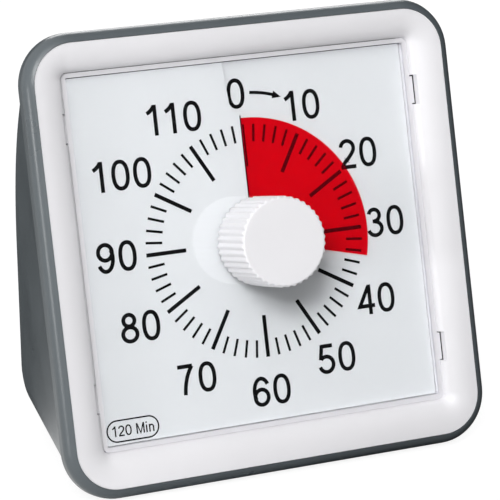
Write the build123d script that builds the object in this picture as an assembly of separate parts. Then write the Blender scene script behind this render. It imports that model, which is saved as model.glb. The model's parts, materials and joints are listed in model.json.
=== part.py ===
from build123d import *
from math import atan2, cos, hypot, radians, sin, tan
import os

os.makedirs("parts", exist_ok=True)

# Visual countdown timer: a wedge-shaped case whose square front leans back.
# +Z is up, the front looks towards -Y, and the feet stand on Z = 0.
# The origin is the middle of the bounding box, at the bottom.
#
# Three frames are used, in millimetres:
#   face   origin on the knob axis at the dial's middle level; x to the right,
#          y up the leaning face, z out of the face towards the user
#   back   origin where the back wall, produced, meets the base; x to the left
#          as the user sees it, y up the back wall, z out of the back
#   world  the part's own frame
# "Level" means z in the face frame; "depth" means z in the back frame.

# ------------------------------------------------------------------ sizes
# Case, seen square on
case_width = 120.0          # across the rim, both ways
rim_corner = 13.5           # corner radius of the rim
rim_lip = 2.6               # width of the rim round the bezel
rim_round = 3.7             # rounding of the rim's front edge
rim_front = 6.55            # level of the rim's crown
rim_back = 0.8              # level of the rim's rear edge
frame_drop = 0.8            # middle of the rim below the knob axis
lean = 16.0                 # degrees that the face leans back

# Case, seen from the side
wall = 2.2
side_draft = 8.0            # degrees that the sides close in to the back
side_step = 0.4             # sides set in behind the rim
top_step = 0.7              # top set in behind the rim
heel_reach = 54.8           # back wall, produced to the base, behind the dial
heel_round = 16.0           # rounding between base and back wall
knee_up = 82.0              # up the lower back wall, produced, to the upper one
knee_reach = 24.0           # rounding between the two walls, to each side of their meeting line
back_lean = 9.5             # degrees, lower back wall from upright
foot_height = 0.8           # case above the table

# Bezel and window
fit_gap = 0.1               # clearance between fixed mouldings
beyond = 1.0                # cuts run on past the surface that they open
bezel_crown = 6.2           # level of the bezel's outer edge
bezel_inner = 2.2           # level of the bezel's inner edge
bezel_skin = 1.65           # inner wall of the hollow bezel
bezel_groove = 2.6          # level of the roof of the hollow
bezel_boss = 2.6            # radius of the screw bosses
bezel_band = 8.5            # from the window to the wall round the bezel
window_corner = 1.6
window_face = 2.3           # level of the window's front
pane = 1.15                 # thickness of the window
window_wall = 1.2           # thickness of the window's side walls
window_gap = 0.15           # between window and bezel
window_hole = 6.6           # radius of the hole round the knob's boss
clip_length = 7.2
clip_reach = 0.9
clip_inset = 14.1           # clip centres from the window's corners
clip_gap = 0.35
clip_edge = 0.3             # clip below the window's front, and above the dial's middle level

# Dial and film
dial_gap = 0.2              # between the dial's edge and the window's wall
dial_sheet = 0.3
dial_hole = 7.2             # radius of the hole round the hub
dial_rise = 0.9             # height gained round one turn, from slit to slit
film_radius = 32.5
film_sheet = 0.2
film_gap = 0.12             # film above the dial where it shows
film_cut = 0.6              # degrees kept free on each side of the film's cut
set_angle = 104.5           # degrees of the dial that show red at rest
slit_left = 0.8             # edge of the upper flap left of the knob axis
slit_jog = 2.4              # sideways step of the slit beyond the film
slit_slope = 1.0            # further drift of the slit to the dial's top edge
slit_room = 0.9             # from the film's edge to the slit's sideways step
flap_room = 0.7             # from the film's edge to the dial's lower flap
flap_sweep = 8.0            # degrees that the lower flap runs on under the upper one
flap_lap = 1.0              # overlap of the two flaps
dial_rest = 0.05            # between the dial's lowest edge and the ledge under it

# Knob, hub and spindle
knob_radius = 11.8          # over the ribs
knob_end = 20.2             # level of the knob's end face
knob_start = 2.8            # level of the knob's skirt
knob_edge = 0.5             # chamfer round the end face
knob_ribs = 40
rib_depth = 0.55
rib_crest = 0.3             # share of a rib's pitch on its crest, and on its root
rib_flank = 0.2             # share of a rib's pitch on each flank
knob_skirt = 1.5            # wall of the hollow knob, inside the ribs
knob_top = 3.2              # thickness of the end
boss_radius = 4.5
hub_radius = 6.3
hub_top = 1.05              # level
hub_bottom = -1.25          # level
slide_gap = 0.1             # film bore round the hub
running_gap = 0.05          # radial clearance of every bearing
spindle_radius = 2.0
spindle_top = 13.0          # level
collar_radius = 3.6
collar_thick = 0.8
bush_radius = 4.0
washer_radius = 4.0
clutch_sheet = 0.3          # thickness of the clutch washer and of the clip behind it
ring_radius = 3.6           # retaining clip
spindle_tail = 0.2          # spindle beyond the retaining clip
bush_proud = 0.6            # bush beyond the movement's inner face
stack_gap = 0.05            # end play, and between neighbours along the spindle

# Plate behind the dial
plate_front = -1.5          # level
plate_thick = 1.8
plate_margin = (6.0, 7.5)   # inside the rim's outside, at the sides and at top and bottom
plate_corner = 10.0
dial_ledge = 5.9            # width of the raised frame under the dial's edge

# Movement
movement_width = 56.0
movement_height = 54.0
movement_up = 1.0           # middle of the housing above the knob axis
movement_wall = 1.5
movement_corner = 3.0
movement_deep = 13.7        # front face to rear face
post_inset = 2.7            # screw posts from the housing's outside
housing_post = 2.5          # radius of the housing's screw posts
wheel_radius = 9.0          # pitch circle
wheel_teeth = 60
pinion_teeth = 8
wheel_thick = 1.0
tooth_top = 0.8             # tooth beyond the pitch circle, in modules
tooth_root = 1.2            # gap inside the pitch circle, in modules
tooth_foot = 0.30           # half width of a tooth at its root, share of the pitch
tooth_tip = 0.11            # half width of a tooth at its tip, share of the pitch
pinion_lap = 0.5            # pinion beyond the wheel that it drives, each side
second_way = 225.0          # degrees, from the drive wheel's axis to the second wheel's
third_way = 135.0
rotor_way = 90.0
arbor_radius = 0.5
pivot_depth = 0.8
layer = 3.0                 # level step from the drive wheel to the second wheel
last_layer = 2.6            # level step from the second wheel to the third
magnet_radius = 3.0
magnet_reach = 1.0          # magnet beyond the stator plate, each side
stator_x = (-22.0, 12.0)
stator_y = (5.5, 23.0)
stator_notch = 15.5         # lower edge of the gap for the coil
stator_arm = 3.5
stator_thick = 1.0
stator_drop = 0.2           # rear of the stator behind the second wheel's front
stator_gap = 0.5            # round the magnet
rest_radius = 1.6           # pillars that carry the stator plate
rest_up = 8.0
core_height = 3.0
core_thick = 1.0
coil_half = 4.0
coil_flange = 0.8
coil_round = 1.5
winding_inset = 0.3         # winding inside the flanges' edges
bobbin_wall = 0.75
bobbin_gap = 0.15
end_gap = 1.0               # between the coil and the stator's arms

# Back: battery, door, board
battery_radius = 7.1
battery_length = 50.5
bay_half = 28.6             # half length inside the battery bay
bay_low = 26.0              # bottom of the bay up the back wall
bay_high = 42.0
bay_wall = 1.6
door_half = 30.0            # half width of the door opening
door_low = 21.8
door_high = 44.2
door_gap = 0.2
door_sill = 2.5             # thickened wall beside the opening
finger_radius = 5.0         # notch for the finger
finger_out = 2.0            # middle of the notch outside the back wall
hinge_up = 23.6             # door hinge axis up the back wall
hinge_depth = -1.5
hinge_barrel = 1.2
hinge_room = 0.6            # round the barrel
hinge_pin = 0.8
hinge_end = 1.5             # depth of the holes for the pin's ends
board_thick = 1.6
board_depth = -8.0          # rear face of the circuit board
board_low = 46.2
board_height = 22.8
board_boss = 2.6            # radius
board_screw_up = 17.8       # from the board's lower edge
board_screw_out = 24.0      # from the middle
crystal_radius = 1.5
crystal_x = (-12.0, -5.0)
crystal_up = 10.8           # from the board's lower edge
chip_x = (-2.0, 8.0)
chip_up = (5.8, 13.8)       # from the board's lower edge
chip_height = 1.2
chip_edge = 0.4             # chamfer
capacitor_radius = 2.5
capacitor_height = 5.0
capacitor_at = (18.0, 7.8)  # from the board's lower middle
slider_up = 51.0
slider_travel = 4.0
slider_stem = (1.5, 1.0)    # half length and half height
slider_foot = (4.2, 2.0)    # half length and half height
slider_gap = 0.3            # slot round the stem
slider_proud = 1.3          # stem beyond the back wall
switch_half = (5.0, 3.0)
switch_height = 4.6
buzzer_radius = 7.0
buzzer_height = 4.2
buzzer_port = (1.0, 2.0)    # radius and depth
buzzer_out = -13.0          # from the middle
buzzer_up = 12.8            # from the board's lower edge
sound_hole = 0.8            # radius
sound_pitch = 3.2
contact_half = 0.2          # half thickness of the contact strips
contact_wall = 0.2          # between the strips and the bay's ends
contact_pad = 6.0           # half width of the strip behind the battery, and its reach inwards
contact_rise = 5.0          # reach of the strip outwards
contact_room = 0.2          # slot round the strip's tail
tail_half = 1.5             # half width of the strip's tail
tail_reach = 4.0            # tail beyond the board's lower edge
tail_depth = -9.5
spring_wire = 0.4           # radius
spring_coil = 3.6           # radius
spring_turns = 3
spring_lap = 0.1            # first turn into the strip
tip_radius = 2.75           # battery's positive tip
tip_height = 1.2
can_round = 0.6
battery_rest = 0.3          # between the battery and the bay's floor
bay_floor = -17.3           # depth

# Feet
foot_radius = 4.4
foot_sink = 1.0             # recess in the base
foot_inset = (2.0, 1.5, 1.0)    # from the flat base's front, rear and side edges

# Screw posts
post_front = -1.6           # level where the case's posts meet the bezel's bosses
post_radius = 3.8
post_floor = 2.0            # under the case screws' heads
post_gap = 0.3              # notches of the plate round the posts
plate_boss = 2.4            # radius of the bezel's bosses behind which the plate is screwed
screw_gap = 0.15            # round a screw's shaft
head_gap = 0.4              # round a screw's head
screw_grip = 5.0            # length of the case and plate screws
board_grip = 3.5            # board screws beyond the board
thread_end = 1.0            # blind holes beyond the screws
plate_grip = 1.3            # movement screws in the plate

# Lead from the movement to the board
lead_radius = 0.6
lead_at = (14.0, 8.0)
lead_start = 2.0            # inside the movement's rear face
lead_out = 5.0              # from the movement's rear face to the first bend's corner
lead_board_out = 5.5        # from the board to the second bend's corner
lead_board_up = 14.8        # from the board's lower edge
lead_ease = 0.45            # share of the shorter straight run that a bend takes up

# Screws: shaft radius, head radius, head height
case_screw = (1.3, 2.5, 1.8)
small_screw = (1.1, 2.1, 1.3)
screw_cross = (0.6, 0.5)            # cross recess: share of the head's radius, and width
case_screw_inset = (22.0, 6.65)     # from the rim's outside
plate_screw_inset = 7.7             # from the rim's outside
plate_screw_up = 20.0               # from the middle of the rim

# ------------------------------------------------------------- worked out
lean_sin = sin(radians(lean))
lean_cos = cos(radians(lean))
half = case_width / 2
rim_centre = rim_front - rim_round
pocket_half = half - rim_lip
pocket_corner = rim_corner - rim_lip
window_half = pocket_half - bezel_band
window_width = 2 * window_half
dial_width = window_width - 2 * (window_wall + dial_gap)
clip_offset = window_half - clip_inset
plate_width = case_width - 2 * plate_margin[0]
plate_height = case_width - 2 * plate_margin[1]
case_screw_at = (half - case_screw_inset[0], half - case_screw_inset[1])
plate_screw_at = (half - plate_screw_inset, plate_screw_up)
bezel_half = pocket_half - fit_gap
bezel_open = window_half + window_gap
plate_back = plate_front - plate_thick
movement_front = plate_back
movement_rear = movement_front - movement_deep
movement_split = (movement_front + movement_rear) / 2
movement_screw = movement_deep + plate_grip
film_lift = dial_sheet / 2 + film_sheet / 2 + film_gap
film_drop = dial_rise - film_lift

# Height and place of the knob axis: the base plane is tangent to the rim
dial_z = foot_height + rim_round + (half + frame_drop - rim_round) * lean_cos - rim_centre * lean_sin
knob_reach = knob_end * lean_cos + (knob_radius - knob_edge) * lean_sin
rim_reach = rim_centre * lean_cos + (half + frame_drop - rim_round) * lean_sin + rim_round
heel_tangent = heel_round * tan(radians(45 + back_lean / 2))
back_reach = heel_reach - heel_tangent + heel_round
dial_y = (max(knob_reach, rim_reach) - back_reach) / 2

face = Plane(origin=(0, dial_y, dial_z), x_dir=(1, 0, 0), z_dir=(0, -lean_cos, lean_sin)).location
back_sin = sin(radians(back_lean))
back_cos = cos(radians(back_lean))
back = Plane(
    origin=(0, dial_y + heel_reach, foot_height), x_dir=(-1, 0, 0), z_dir=(0, back_cos, back_sin)
).location

# Levels behind the dial, from the front to the back
module = 2 * wheel_radius / wheel_teeth
ledge_top = -dial_rise / 2 - dial_sheet / 2 - dial_rest
case_head = post_front - post_floor
bush_end = movement_front - movement_wall - bush_proud
collar = (bush_end - fit_gap - collar_thick, bush_end - fit_gap)
wheel_level = (collar[0] - fit_gap - wheel_thick, collar[0] - fit_gap)
washer_level = (wheel_level[0] - stack_gap - clutch_sheet, wheel_level[0] - stack_gap)
clip_level = (washer_level[0] - stack_gap - clutch_sheet, washer_level[0] - stack_gap)
second_level = (wheel_level[0] - layer, wheel_level[1] - layer)
third_level = (second_level[0] - last_layer, second_level[1] - last_layer)
pivot_end = movement_wall - pivot_depth + stack_gap
arbor_level = (movement_rear + pivot_end, movement_front - pivot_end)
stator_level = (second_level[1] - stator_drop, second_level[1] - stator_drop + stator_thick)
core_level = (stator_level[0] - core_thick, stator_level[0])
magnet_level = (stator_level[0] - magnet_reach, stator_level[1] + magnet_reach)

# Places on the board and in the battery bay
contact_at = bay_half - contact_wall - contact_half
battery_middle = (bay_low + bay_high) / 2
battery_depth = bay_floor + battery_rest + battery_radius
tip_end = contact_at - contact_half - fit_gap
board_half = contact_at - contact_half - fit_gap
board_front = board_depth - board_thick
board_high = board_low + board_height
board_screw_at = [(side * board_screw_out, board_low + board_screw_up) for side in (-1, 1)]
switch_top = board_depth + switch_height
buzzer_at = (buzzer_out, board_low + buzzer_up)
sound_holes = [
    (buzzer_at[0] + sound_pitch * x, buzzer_at[1] + sound_pitch * y)
    for x, y in ((0, 0), (1, 0), (-1, 0), (0, 1), (0, -1))]


# ---------------------------------------------------------------- helpers
def block(x, y, z):
    """Box between the given limits."""
    box = Box(x[1] - x[0], y[1] - y[0], z[1] - z[0], align=Align.MIN)
    return Pos(x[0], y[0], z[0]) * box


def around(x, half_x, z, half_z, y):
    """Box that reaches half_x and half_z to each side of a line along y."""
    return block((x - half_x, x + half_x), y, (z - half_z, z + half_z))


def around_middle(x, y, size, z):
    """Box with the given half sizes round a middle, between two depths."""
    return block((x - size[0], x + size[0]), (y - size[1], y + size[1]), z)


def rod(radius, z, at=(0, 0)):
    """Cylinder along z between two levels."""
    return Pos(at[0], at[1], z[0]) * extrude(Circle(radius), z[1] - z[0])


def cross_rod(radius, x, y, z):
    """Cylinder along x between two limits."""
    return Pos(x[0], y, z) * extrude(Plane.YZ * Circle(radius), x[1] - x[0])


def tube(outer, inner, z, at=(0, 0)):
    """Round tube along z between two levels."""
    return rod(outer, z, at) - rod(inner, z, at)


def slab(width, height, corner, z, middle=(0, 0)):
    """Plate with rounded corners between two levels."""
    outline = Pos(middle[0], middle[1], z[0]) * RectangleRounded(width, height, corner)
    return extrude(outline, z[1] - z[0])


def mirrored(at):
    """The four points at plus and minus both distances."""
    return [(sx * at[0], sy * at[1]) for sx in (-1, 1) for sy in (-1, 1)]


def framed(at):
    """The same four points, counted from the middle of the rim."""
    return [(x, y - frame_drop) for x, y in mirrored(at)]


def screw(size, length, at, head_level):
    """Pan-head screw from behind: the head sits under head_level and the shaft runs up."""
    shaft_radius, head_radius, head_height = size
    head = rod(head_radius, (0, head_height))
    head = chamfer(head.edges().filter_by(GeomType.CIRCLE).sort_by(Axis.Z)[-1], head_height / 3)
    long, wide = screw_cross
    for turn in (0, 90):
        head -= Rot(0, 0, turn) * block((-head_radius * long, head_radius * long), (-wide / 2, wide / 2),
                                        (head_height / 2, head_height))
    body = head + rod(shaft_radius, (-length, 0))
    return Pos(at[0], at[1], head_level) * Rot(180, 0, 0) * body


def screws(size, length, places, head_level):
    return [screw(size, length, at, head_level) for at in places]


def meet(point_a, way_a, point_b, way_b):
    """Crossing point of two lines, each given by a point and a direction."""
    cross = way_a[0] * way_b[1] - way_a[1] * way_b[0]
    gap = (point_b[0] - point_a[0], point_b[1] - point_a[1])
    run = (gap[0] * way_b[1] - gap[1] * way_b[0]) / cross
    return (point_a[0] + run * way_a[0], point_a[1] + run * way_a[1])


def across(up, level):
    """World Y and Z of a point on the face's middle line."""
    return (dial_y + up * lean_sin - level * lean_cos, dial_z + up * lean_cos + level * lean_sin)


# -------------------------------------------------------------- rear case
def side_half(level):
    """Half width of the case behind the rim, at a level."""
    return half - side_step - tan(radians(side_draft)) * (rim_centre - level)


def side_line(point, way, inset):
    """Line through a point, moved towards the inside of the case, which lies to its left."""
    return (point[0] - inset * way[1], point[1] + inset * way[0]), way


# Upper back wall: from the knee to the rim's top
knee_corner = (dial_y + heel_reach - knee_up * back_sin, foot_height + knee_up * back_cos)
rim_top = across(half - frame_drop - top_step, rim_back)
brow_length = hypot(rim_top[0] - knee_corner[0], rim_top[1] - knee_corner[1])
brow_way = ((rim_top[0] - knee_corner[0]) / brow_length, (rim_top[1] - knee_corner[1]) / brow_length)
knee_turn = atan2(-brow_way[0], brow_way[1]) - radians(back_lean)
knee_round = knee_reach / tan(knee_turn / 2)


def wedge(inset, front):
    """The case's solid wedge up to the level front, moved in by inset."""
    base = side_line((dial_y, foot_height), (1, 0), inset)
    low = side_line((dial_y + heel_reach, foot_height), (-back_sin, back_cos), inset)
    high = side_line(rim_top, brow_way, inset)
    nose = (across(0, front), (lean_sin, lean_cos))
    toe, heel = meet(*base, *nose), meet(*base, *low)
    knee, brow = meet(*low, *high), meet(*high, *nose)
    profile = Polygon(toe, heel, knee, brow, align=None)
    profile = fillet(profile.vertices().sort_by_distance(heel)[0], heel_round - inset)
    profile = fillet(profile.vertices().sort_by_distance(knee)[0], knee_round - inset)
    solid = extrude(Plane.YZ * profile, case_width, both=True)
    near, far = 20.0, -2.0 * case_width
    skew = inset / cos(radians(side_draft))
    sides = Polygon(
        (side_half(near) - skew, near), (skew - side_half(near), near),
        (skew - side_half(far), far), (side_half(far) - skew, far), align=None)
    solid &= face * extrude(Plane.XZ * sides, case_width, both=True)
    edges = []
    for side in solid.faces().filter_by(lambda f: abs(f.normal_at().X) > 0.9):
        for edge in side.edges():
            level = (face.inverse() * Pos(*edge.center())).position.Z
            if level < front - 0.01:
                edges.append(edge)
    return fillet(edges, rim_corner - inset)


def make_rear_case():
    rim = slab(case_width, case_width, rim_corner, (rim_back, rim_front), (0, -frame_drop))
    rim = fillet(rim.faces().sort_by(Axis.Z)[-1].edges(), rim_round)
    case = face * rim - block((-half, half), (-case_width, case_width), (-case_width, foot_height))
    case += wedge(0, rim_back + fit_gap)
    case -= wedge(wall, rim_back)
    case -= face * slab(2 * pocket_half, 2 * pocket_half, pocket_corner, (0, 2 * rim_front), (0, -frame_drop))

    # Battery bay, board bosses and screw posts, kept inside the skin
    inside = wedge(wall / 2, rim_back)
    bay = block((-bay_half - bay_wall, bay_half + bay_wall), (bay_low - bay_wall, bay_high + bay_wall),
                (bay_floor - bay_wall, 0))
    sill = door_half + door_sill
    bay += block((-sill, sill), (door_low - bay_wall, door_high + bay_wall), (-2 * wall, 0))
    posts = [face * rod(post_radius, (-case_width, post_front), at) for at in framed(case_screw_at)]
    bosses = [back * rod(board_boss, (board_depth, 0), at) for at in board_screw_at]
    for added in [back * bay, *posts, *bosses]:
        case += added & inside

    # Openings through the back wall
    case -= back * block((-bay_half, bay_half), (bay_low, bay_high), (bay_floor, wall))
    case -= back * block((-door_half, door_half), (door_low, door_high), (-wall, wall))
    case -= back * cross_rod(hinge_barrel + hinge_room, (-door_half, door_half), hinge_up, hinge_depth)
    pin_end = door_half + hinge_end
    case -= back * cross_rod(hinge_pin + running_gap, (-pin_end, pin_end), hinge_up, hinge_depth)
    for side in (-1, 1):
        slot = (contact_half + contact_room, tail_half + contact_room)
        case -= back * around(side * contact_at, slot[0], tail_depth, slot[1], (bay_high - beyond, board_low))
    run = slider_travel / 2 + slider_stem[0] + slider_gap
    rise = slider_stem[1] + slider_gap
    case -= back * block((-run, run), (slider_up - rise, slider_up + rise), (-2 * wall, wall))
    for place in sound_holes:
        case -= back * rod(sound_hole, (-2 * wall, wall), place)
    for at in board_screw_at:
        case -= back * rod(small_screw[0], (board_depth, board_depth + board_grip + thread_end), at)

    # Screws into the bezel: clearance hole, then a deep recess for the head
    for at in framed(case_screw_at):
        case -= face * rod(bezel_boss + fit_gap, (post_front, rim_back), at)
        case -= face * rod(case_screw[0] + screw_gap, (case_head, rim_back), at)
        case -= face * rod(case_screw[1] + head_gap, (-case_width, case_head), at)
    for at in foot_at:
        case -= Pos(at[0], at[1], foot_height) * extrude(Circle(foot_radius + fit_gap), foot_sink)
    return case


def flat_half(y):
    """Half width of the flat part of the base, at a world Y."""
    level = (dial_y - y) * lean_cos - (dial_z - foot_height) * lean_sin
    return side_half(level) - rim_corner


# The base is flat from the rim's lowest line to the heel
rim_foot_y = dial_y - rim_centre * lean_cos - (half + frame_drop - rim_round) * lean_sin
front_foot_y = rim_foot_y + foot_radius + foot_inset[0]
back_foot_y = dial_y + heel_reach - heel_tangent - foot_radius - foot_inset[1]
foot_at = [
    (side * (flat_half(y) - foot_radius - foot_inset[2]), y)
    for side in (-1, 1) for y in (front_foot_y, back_foot_y)]


def make_rubber_feet():
    return [Pos(x, y, 0) * extrude(Circle(foot_radius), foot_height + foot_sink) for x, y in foot_at]


# ------------------------------------------------------- bezel and window
def make_bezel():
    bezel = slab(2 * bezel_half, 2 * bezel_half, pocket_corner - fit_gap, (0, bezel_crown), (0, -frame_drop))
    # The front dips to the window along a quarter ellipse
    steps = 9
    sections = []
    for i in range(steps + 1):
        turn = radians(90 * i / steps)
        way = 1 - cos(turn)
        size = bezel_open + (bezel_half - bezel_open) * way
        corner = window_corner + (pocket_corner - window_corner) * way
        level = bezel_inner + (bezel_crown - bezel_inner) * sin(turn)
        middle = -frame_drop * way
        sections.append(Pos(0, middle, level) * RectangleRounded(2 * size, 2 * size, corner))
    bezel -= loft(sections, ruled=True)
    flange = 2 * (bezel_open + bezel_skin)
    bezel += slab(flange, flange, window_corner, (plate_front, bezel_inner))
    bezel -= slab(2 * bezel_open, 2 * bezel_open, window_corner, (plate_front, bezel_crown))
    # Hollow behind the skin
    groove_out = bezel_half - bezel_skin
    groove_corner = pocket_corner - bezel_skin
    groove = slab(2 * groove_out, 2 * groove_out, groove_corner, (0, bezel_groove), (0, -frame_drop))
    groove -= slab(flange, flange, window_corner, (-beyond, bezel_crown))
    bezel -= groove
    for at in framed(case_screw_at):
        bezel += rod(bezel_boss, (post_front, bezel_groove), at)
        bezel -= rod(case_screw[0], (post_front, bezel_groove), at)
    for at in framed(plate_screw_at):
        bezel += rod(plate_boss, (plate_front, bezel_groove), at)
        bezel -= rod(small_screw[0], (plate_front, bezel_groove), at)
    for side, height in mirrored((1, clip_offset)):
        reach = bezel_open + clip_reach + clip_gap - window_gap
        x = sorted((side * (bezel_open - beyond), side * reach))
        run = clip_length / 2 + clip_gap
        bezel -= block(x, (height - run, height + run), (plate_front, bezel_crown))
    return bezel


def make_window():
    wall_end = plate_front + fit_gap
    window = slab(window_width, window_width, window_corner, (wall_end, window_face))
    inner = window_half - window_wall
    window -= slab(2 * inner, 2 * inner, window_corner / 2, (wall_end, window_face - pane))
    window -= rod(window_hole, (0, window_face))
    for side, height in mirrored((1, clip_offset)):
        x = sorted((side * (window_half - window_wall / 2), side * (window_half + clip_reach)))
        run = clip_length / 2
        window += block(x, (height - run, height + run), (clip_edge, window_face - clip_edge))
    return window


# ---------------------------------------------------------- dial and film
def helicoid(inner, outer, start, sweep, level, thick):
    """Sheet that winds up clockwise; start is degrees clockwise from 12 o'clock."""
    climb = dial_rise * sweep / 360

    def rail(radius, base):
        edge = Edge.make_helix(dial_rise, climb, radius, lefthand=True)
        return Pos(0, 0, base) * Rot(0, 0, 90 - start) * edge

    low_in, low_out = rail(inner, level - thick / 2), rail(outer, level - thick / 2)
    top_in, top_out = rail(inner, level + thick / 2), rail(outer, level + thick / 2)
    skins = [(low_in, low_out), (top_in, top_out), (low_in, top_in), (low_out, top_out)]
    faces = [Face.make_surface_from_curves(a, b) for a, b in skins]
    for at in (0, 1):
        corners = [rail_edge @ at for rail_edge in (low_in, low_out, top_out, top_in)]
        faces.append(Face(Wire.make_polygon(corners)))
    return Solid(Shell(faces))


def slit_line(shift):
    """Points of the slit's left edge, from the middle to beyond the top edge."""
    top = dial_width / 2
    turn = film_radius + slit_room
    return [
        (-slit_left - shift, 0), (-slit_left - shift, turn), (-slit_left - slit_jog - shift, turn + slit_jog),
        (-slit_left - slit_jog - slit_slope - shift, top + beyond)]


def make_dial():
    reach = dial_width
    deep = 2 * dial_rise
    square = slab(dial_width, dial_width, window_corner / 2, (-deep, deep))
    sheet = helicoid(dial_hole / 2, reach, 0, 360, -dial_rise / 2, dial_sheet)
    # The upper flap ends at the slit
    edge = slit_line(0)
    sheet -= extrude(Polygon(*edge, (beyond, edge[-1][1]), (beyond, 0), align=None), deep, dir=(0, 0, 1))
    # The lower flap runs on under it, outside the film
    low_level = -dial_rise / 2 - dial_rise * flap_sweep / 360
    low = helicoid(film_radius + flap_room, reach, -flap_sweep, flap_sweep, low_level, dial_sheet)
    under = slit_line(flap_lap)
    strip = Polygon(*under, (0, under[-1][1]), (0, 0), align=None)
    low &= extrude(strip, deep, both=True)
    return (sheet + low) & square - rod(dial_hole, (-deep, deep))


def make_film():
    sweep = 360 - 2 * film_cut
    level = -dial_rise / 2 - film_drop + dial_rise * (set_angle + film_cut) / 360
    return helicoid(hub_radius + slide_gap, film_radius, set_angle + film_cut, sweep, level, film_sheet)


movement_screw_at = [
    (x, y + movement_up)
    for x, y in mirrored((movement_width / 2 - post_inset, movement_height / 2 - post_inset))]


def make_backplate():
    plate = slab(plate_width, plate_height, plate_corner, (plate_back, plate_front), (0, -frame_drop))
    ledge = slab(dial_width, dial_width, window_corner / 2, (plate_front, ledge_top))
    inner = dial_width - 2 * dial_ledge
    ledge -= slab(inner, inner, window_corner, (plate_front, ledge_top))
    plate += ledge
    plate -= rod(bush_radius, (plate_back, plate_front))
    for at in framed(case_screw_at):
        plate -= rod(post_radius + post_gap, (plate_back, plate_front), at)
    for at in framed(plate_screw_at):
        plate -= rod(small_screw[0] + screw_gap, (plate_back, plate_front), at)
    for at in movement_screw_at:
        plate -= rod(small_screw[0], (plate_back, plate_back + plate_grip + fit_gap), at)
    return plate


# --------------------------------------------------------- knob and spindle
def ribbed_outline():
    """Outline of the knob: a crest, a flank, a root and a flank for each rib."""
    points = []
    for i in range(knob_ribs):
        for share, sunk in ((0, 0), (rib_crest, 0), (rib_crest + rib_flank, 1), (1 - rib_flank, 1)):
            turn = radians(360 / knob_ribs * (i + share))
            size = knob_radius - rib_depth * sunk
            points.append((size * cos(turn), size * sin(turn)))
    return Polygon(*points, align=None)


def make_knob():
    knob = Pos(0, 0, knob_start) * extrude(ribbed_outline(), knob_end - knob_start)
    blank = rod(knob_radius, (knob_start, knob_end))
    knob &= chamfer(blank.edges().sort_by(Axis.Z)[-1], knob_edge)
    inner = knob_radius - rib_depth - knob_skirt
    knob -= tube(inner, boss_radius, (knob_start, knob_end - knob_top))
    knob += rod(boss_radius, (hub_top + stack_gap, knob_end - knob_top))
    return knob - rod(spindle_radius, (0, spindle_top + stack_gap))


def make_hub():
    return tube(hub_radius, spindle_radius, (hub_bottom, hub_top))


def make_spindle():
    return rod(spindle_radius, (clip_level[0] - spindle_tail, spindle_top)) + rod(collar_radius, collar)


def make_bush():
    return tube(bush_radius, spindle_radius + running_gap, (bush_end, hub_bottom - fit_gap))


def make_clutch_washer():
    return tube(washer_radius, spindle_radius, washer_level)


def make_retaining_clip():
    return tube(ring_radius, spindle_radius, clip_level)


# --------------------------------------------------------------- gear train
def gear(teeth, phase, z, at, bore=0.0):
    """Spur gear with short straight-sided teeth; one tooth points along phase degrees."""
    pitch_radius = module * teeth / 2
    tip = pitch_radius + tooth_top * module
    root = pitch_radius - tooth_root * module
    step = 360 / teeth
    points = []
    for i in range(teeth):
        for share, radius in ((-tooth_foot, root), (-tooth_tip, tip), (tooth_tip, tip), (tooth_foot, root)):
            turn = radians(phase + step * (i + share))
            points.append((radius * cos(turn), radius * sin(turn)))
    body = Pos(at[0], at[1], z[0]) * extrude(Polygon(*points, align=None), z[1] - z[0])
    return body - rod(bore, z, at) if bore else body


def beside(at, way):
    """Axis of the next arbor: one wheel and one pinion in mesh, in the direction way."""
    reach = module * (wheel_teeth + pinion_teeth) / 2
    return (at[0] + reach * cos(radians(way)), at[1] + reach * sin(radians(way)))


second_at = beside((0, 0), second_way)
third_at = beside(second_at, third_way)
rotor_at = beside(third_at, rotor_way)


def arbor(at):
    return rod(arbor_radius, arbor_level, at)


def pinion(at, level, way):
    """Pinion with a gap facing the wheel that it meshes with."""
    phase = way + 180 + 180 / pinion_teeth
    return gear(pinion_teeth, phase, (level[0] - pinion_lap, level[1] + pinion_lap), at)


def make_drive_wheel():
    return gear(wheel_teeth, second_way, wheel_level, (0, 0), spindle_radius + running_gap)


def make_second_wheel():
    return gear(wheel_teeth, third_way, second_level, second_at) + arbor(second_at) \
        + pinion(second_at, wheel_level, second_way)


def make_third_wheel():
    return gear(wheel_teeth, rotor_way, third_level, third_at) + arbor(third_at) \
        + pinion(third_at, second_level, third_way)


def make_rotor():
    return arbor(rotor_at) + pinion(rotor_at, third_level, rotor_way)


def make_magnet():
    return tube(magnet_radius, arbor_radius, magnet_level, rotor_at)


# ------------------------------------------------------------ motor parts
core_y = (stator_y[1] - core_height, stator_y[1])
coil_x = (stator_x[0] + stator_arm + end_gap, stator_x[1] - stator_arm - end_gap)
core_middle = (sum(core_y) / 2, sum(core_level) / 2)
rest_pillars = [(stator_x[0] + stator_arm / 2, rest_up), (stator_x[1] - stator_arm / 2, rest_up)]


def make_stator():
    plate = block(stator_x, stator_y, stator_level)
    notch_x = (stator_x[0] + stator_arm, stator_x[1] - stator_arm)
    plate -= block(notch_x, (stator_notch, stator_y[1] + beyond), stator_level)
    return plate - rod(magnet_radius + stator_gap, stator_level, rotor_at)


def make_core():
    return block(stator_x, core_y, core_level)


def around_core(grow):
    """Limits in y and z of a sleeve that stands off the core by grow."""
    return (core_y[0] - grow, core_y[1] + grow), (core_level[0] - grow, core_level[1] + grow)


def make_bobbin():
    middle_y, middle_z = core_middle
    bobbin = block(coil_x, *around_core(bobbin_gap + bobbin_wall))
    for x in (coil_x[0], coil_x[1] - coil_flange):
        bobbin += block((x, x + coil_flange), (middle_y - coil_half, middle_y + coil_half),
                        (middle_z - coil_half, middle_z + coil_half))
    return bobbin - block((coil_x[0] - beyond, coil_x[1] + beyond), *around_core(bobbin_gap))


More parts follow.
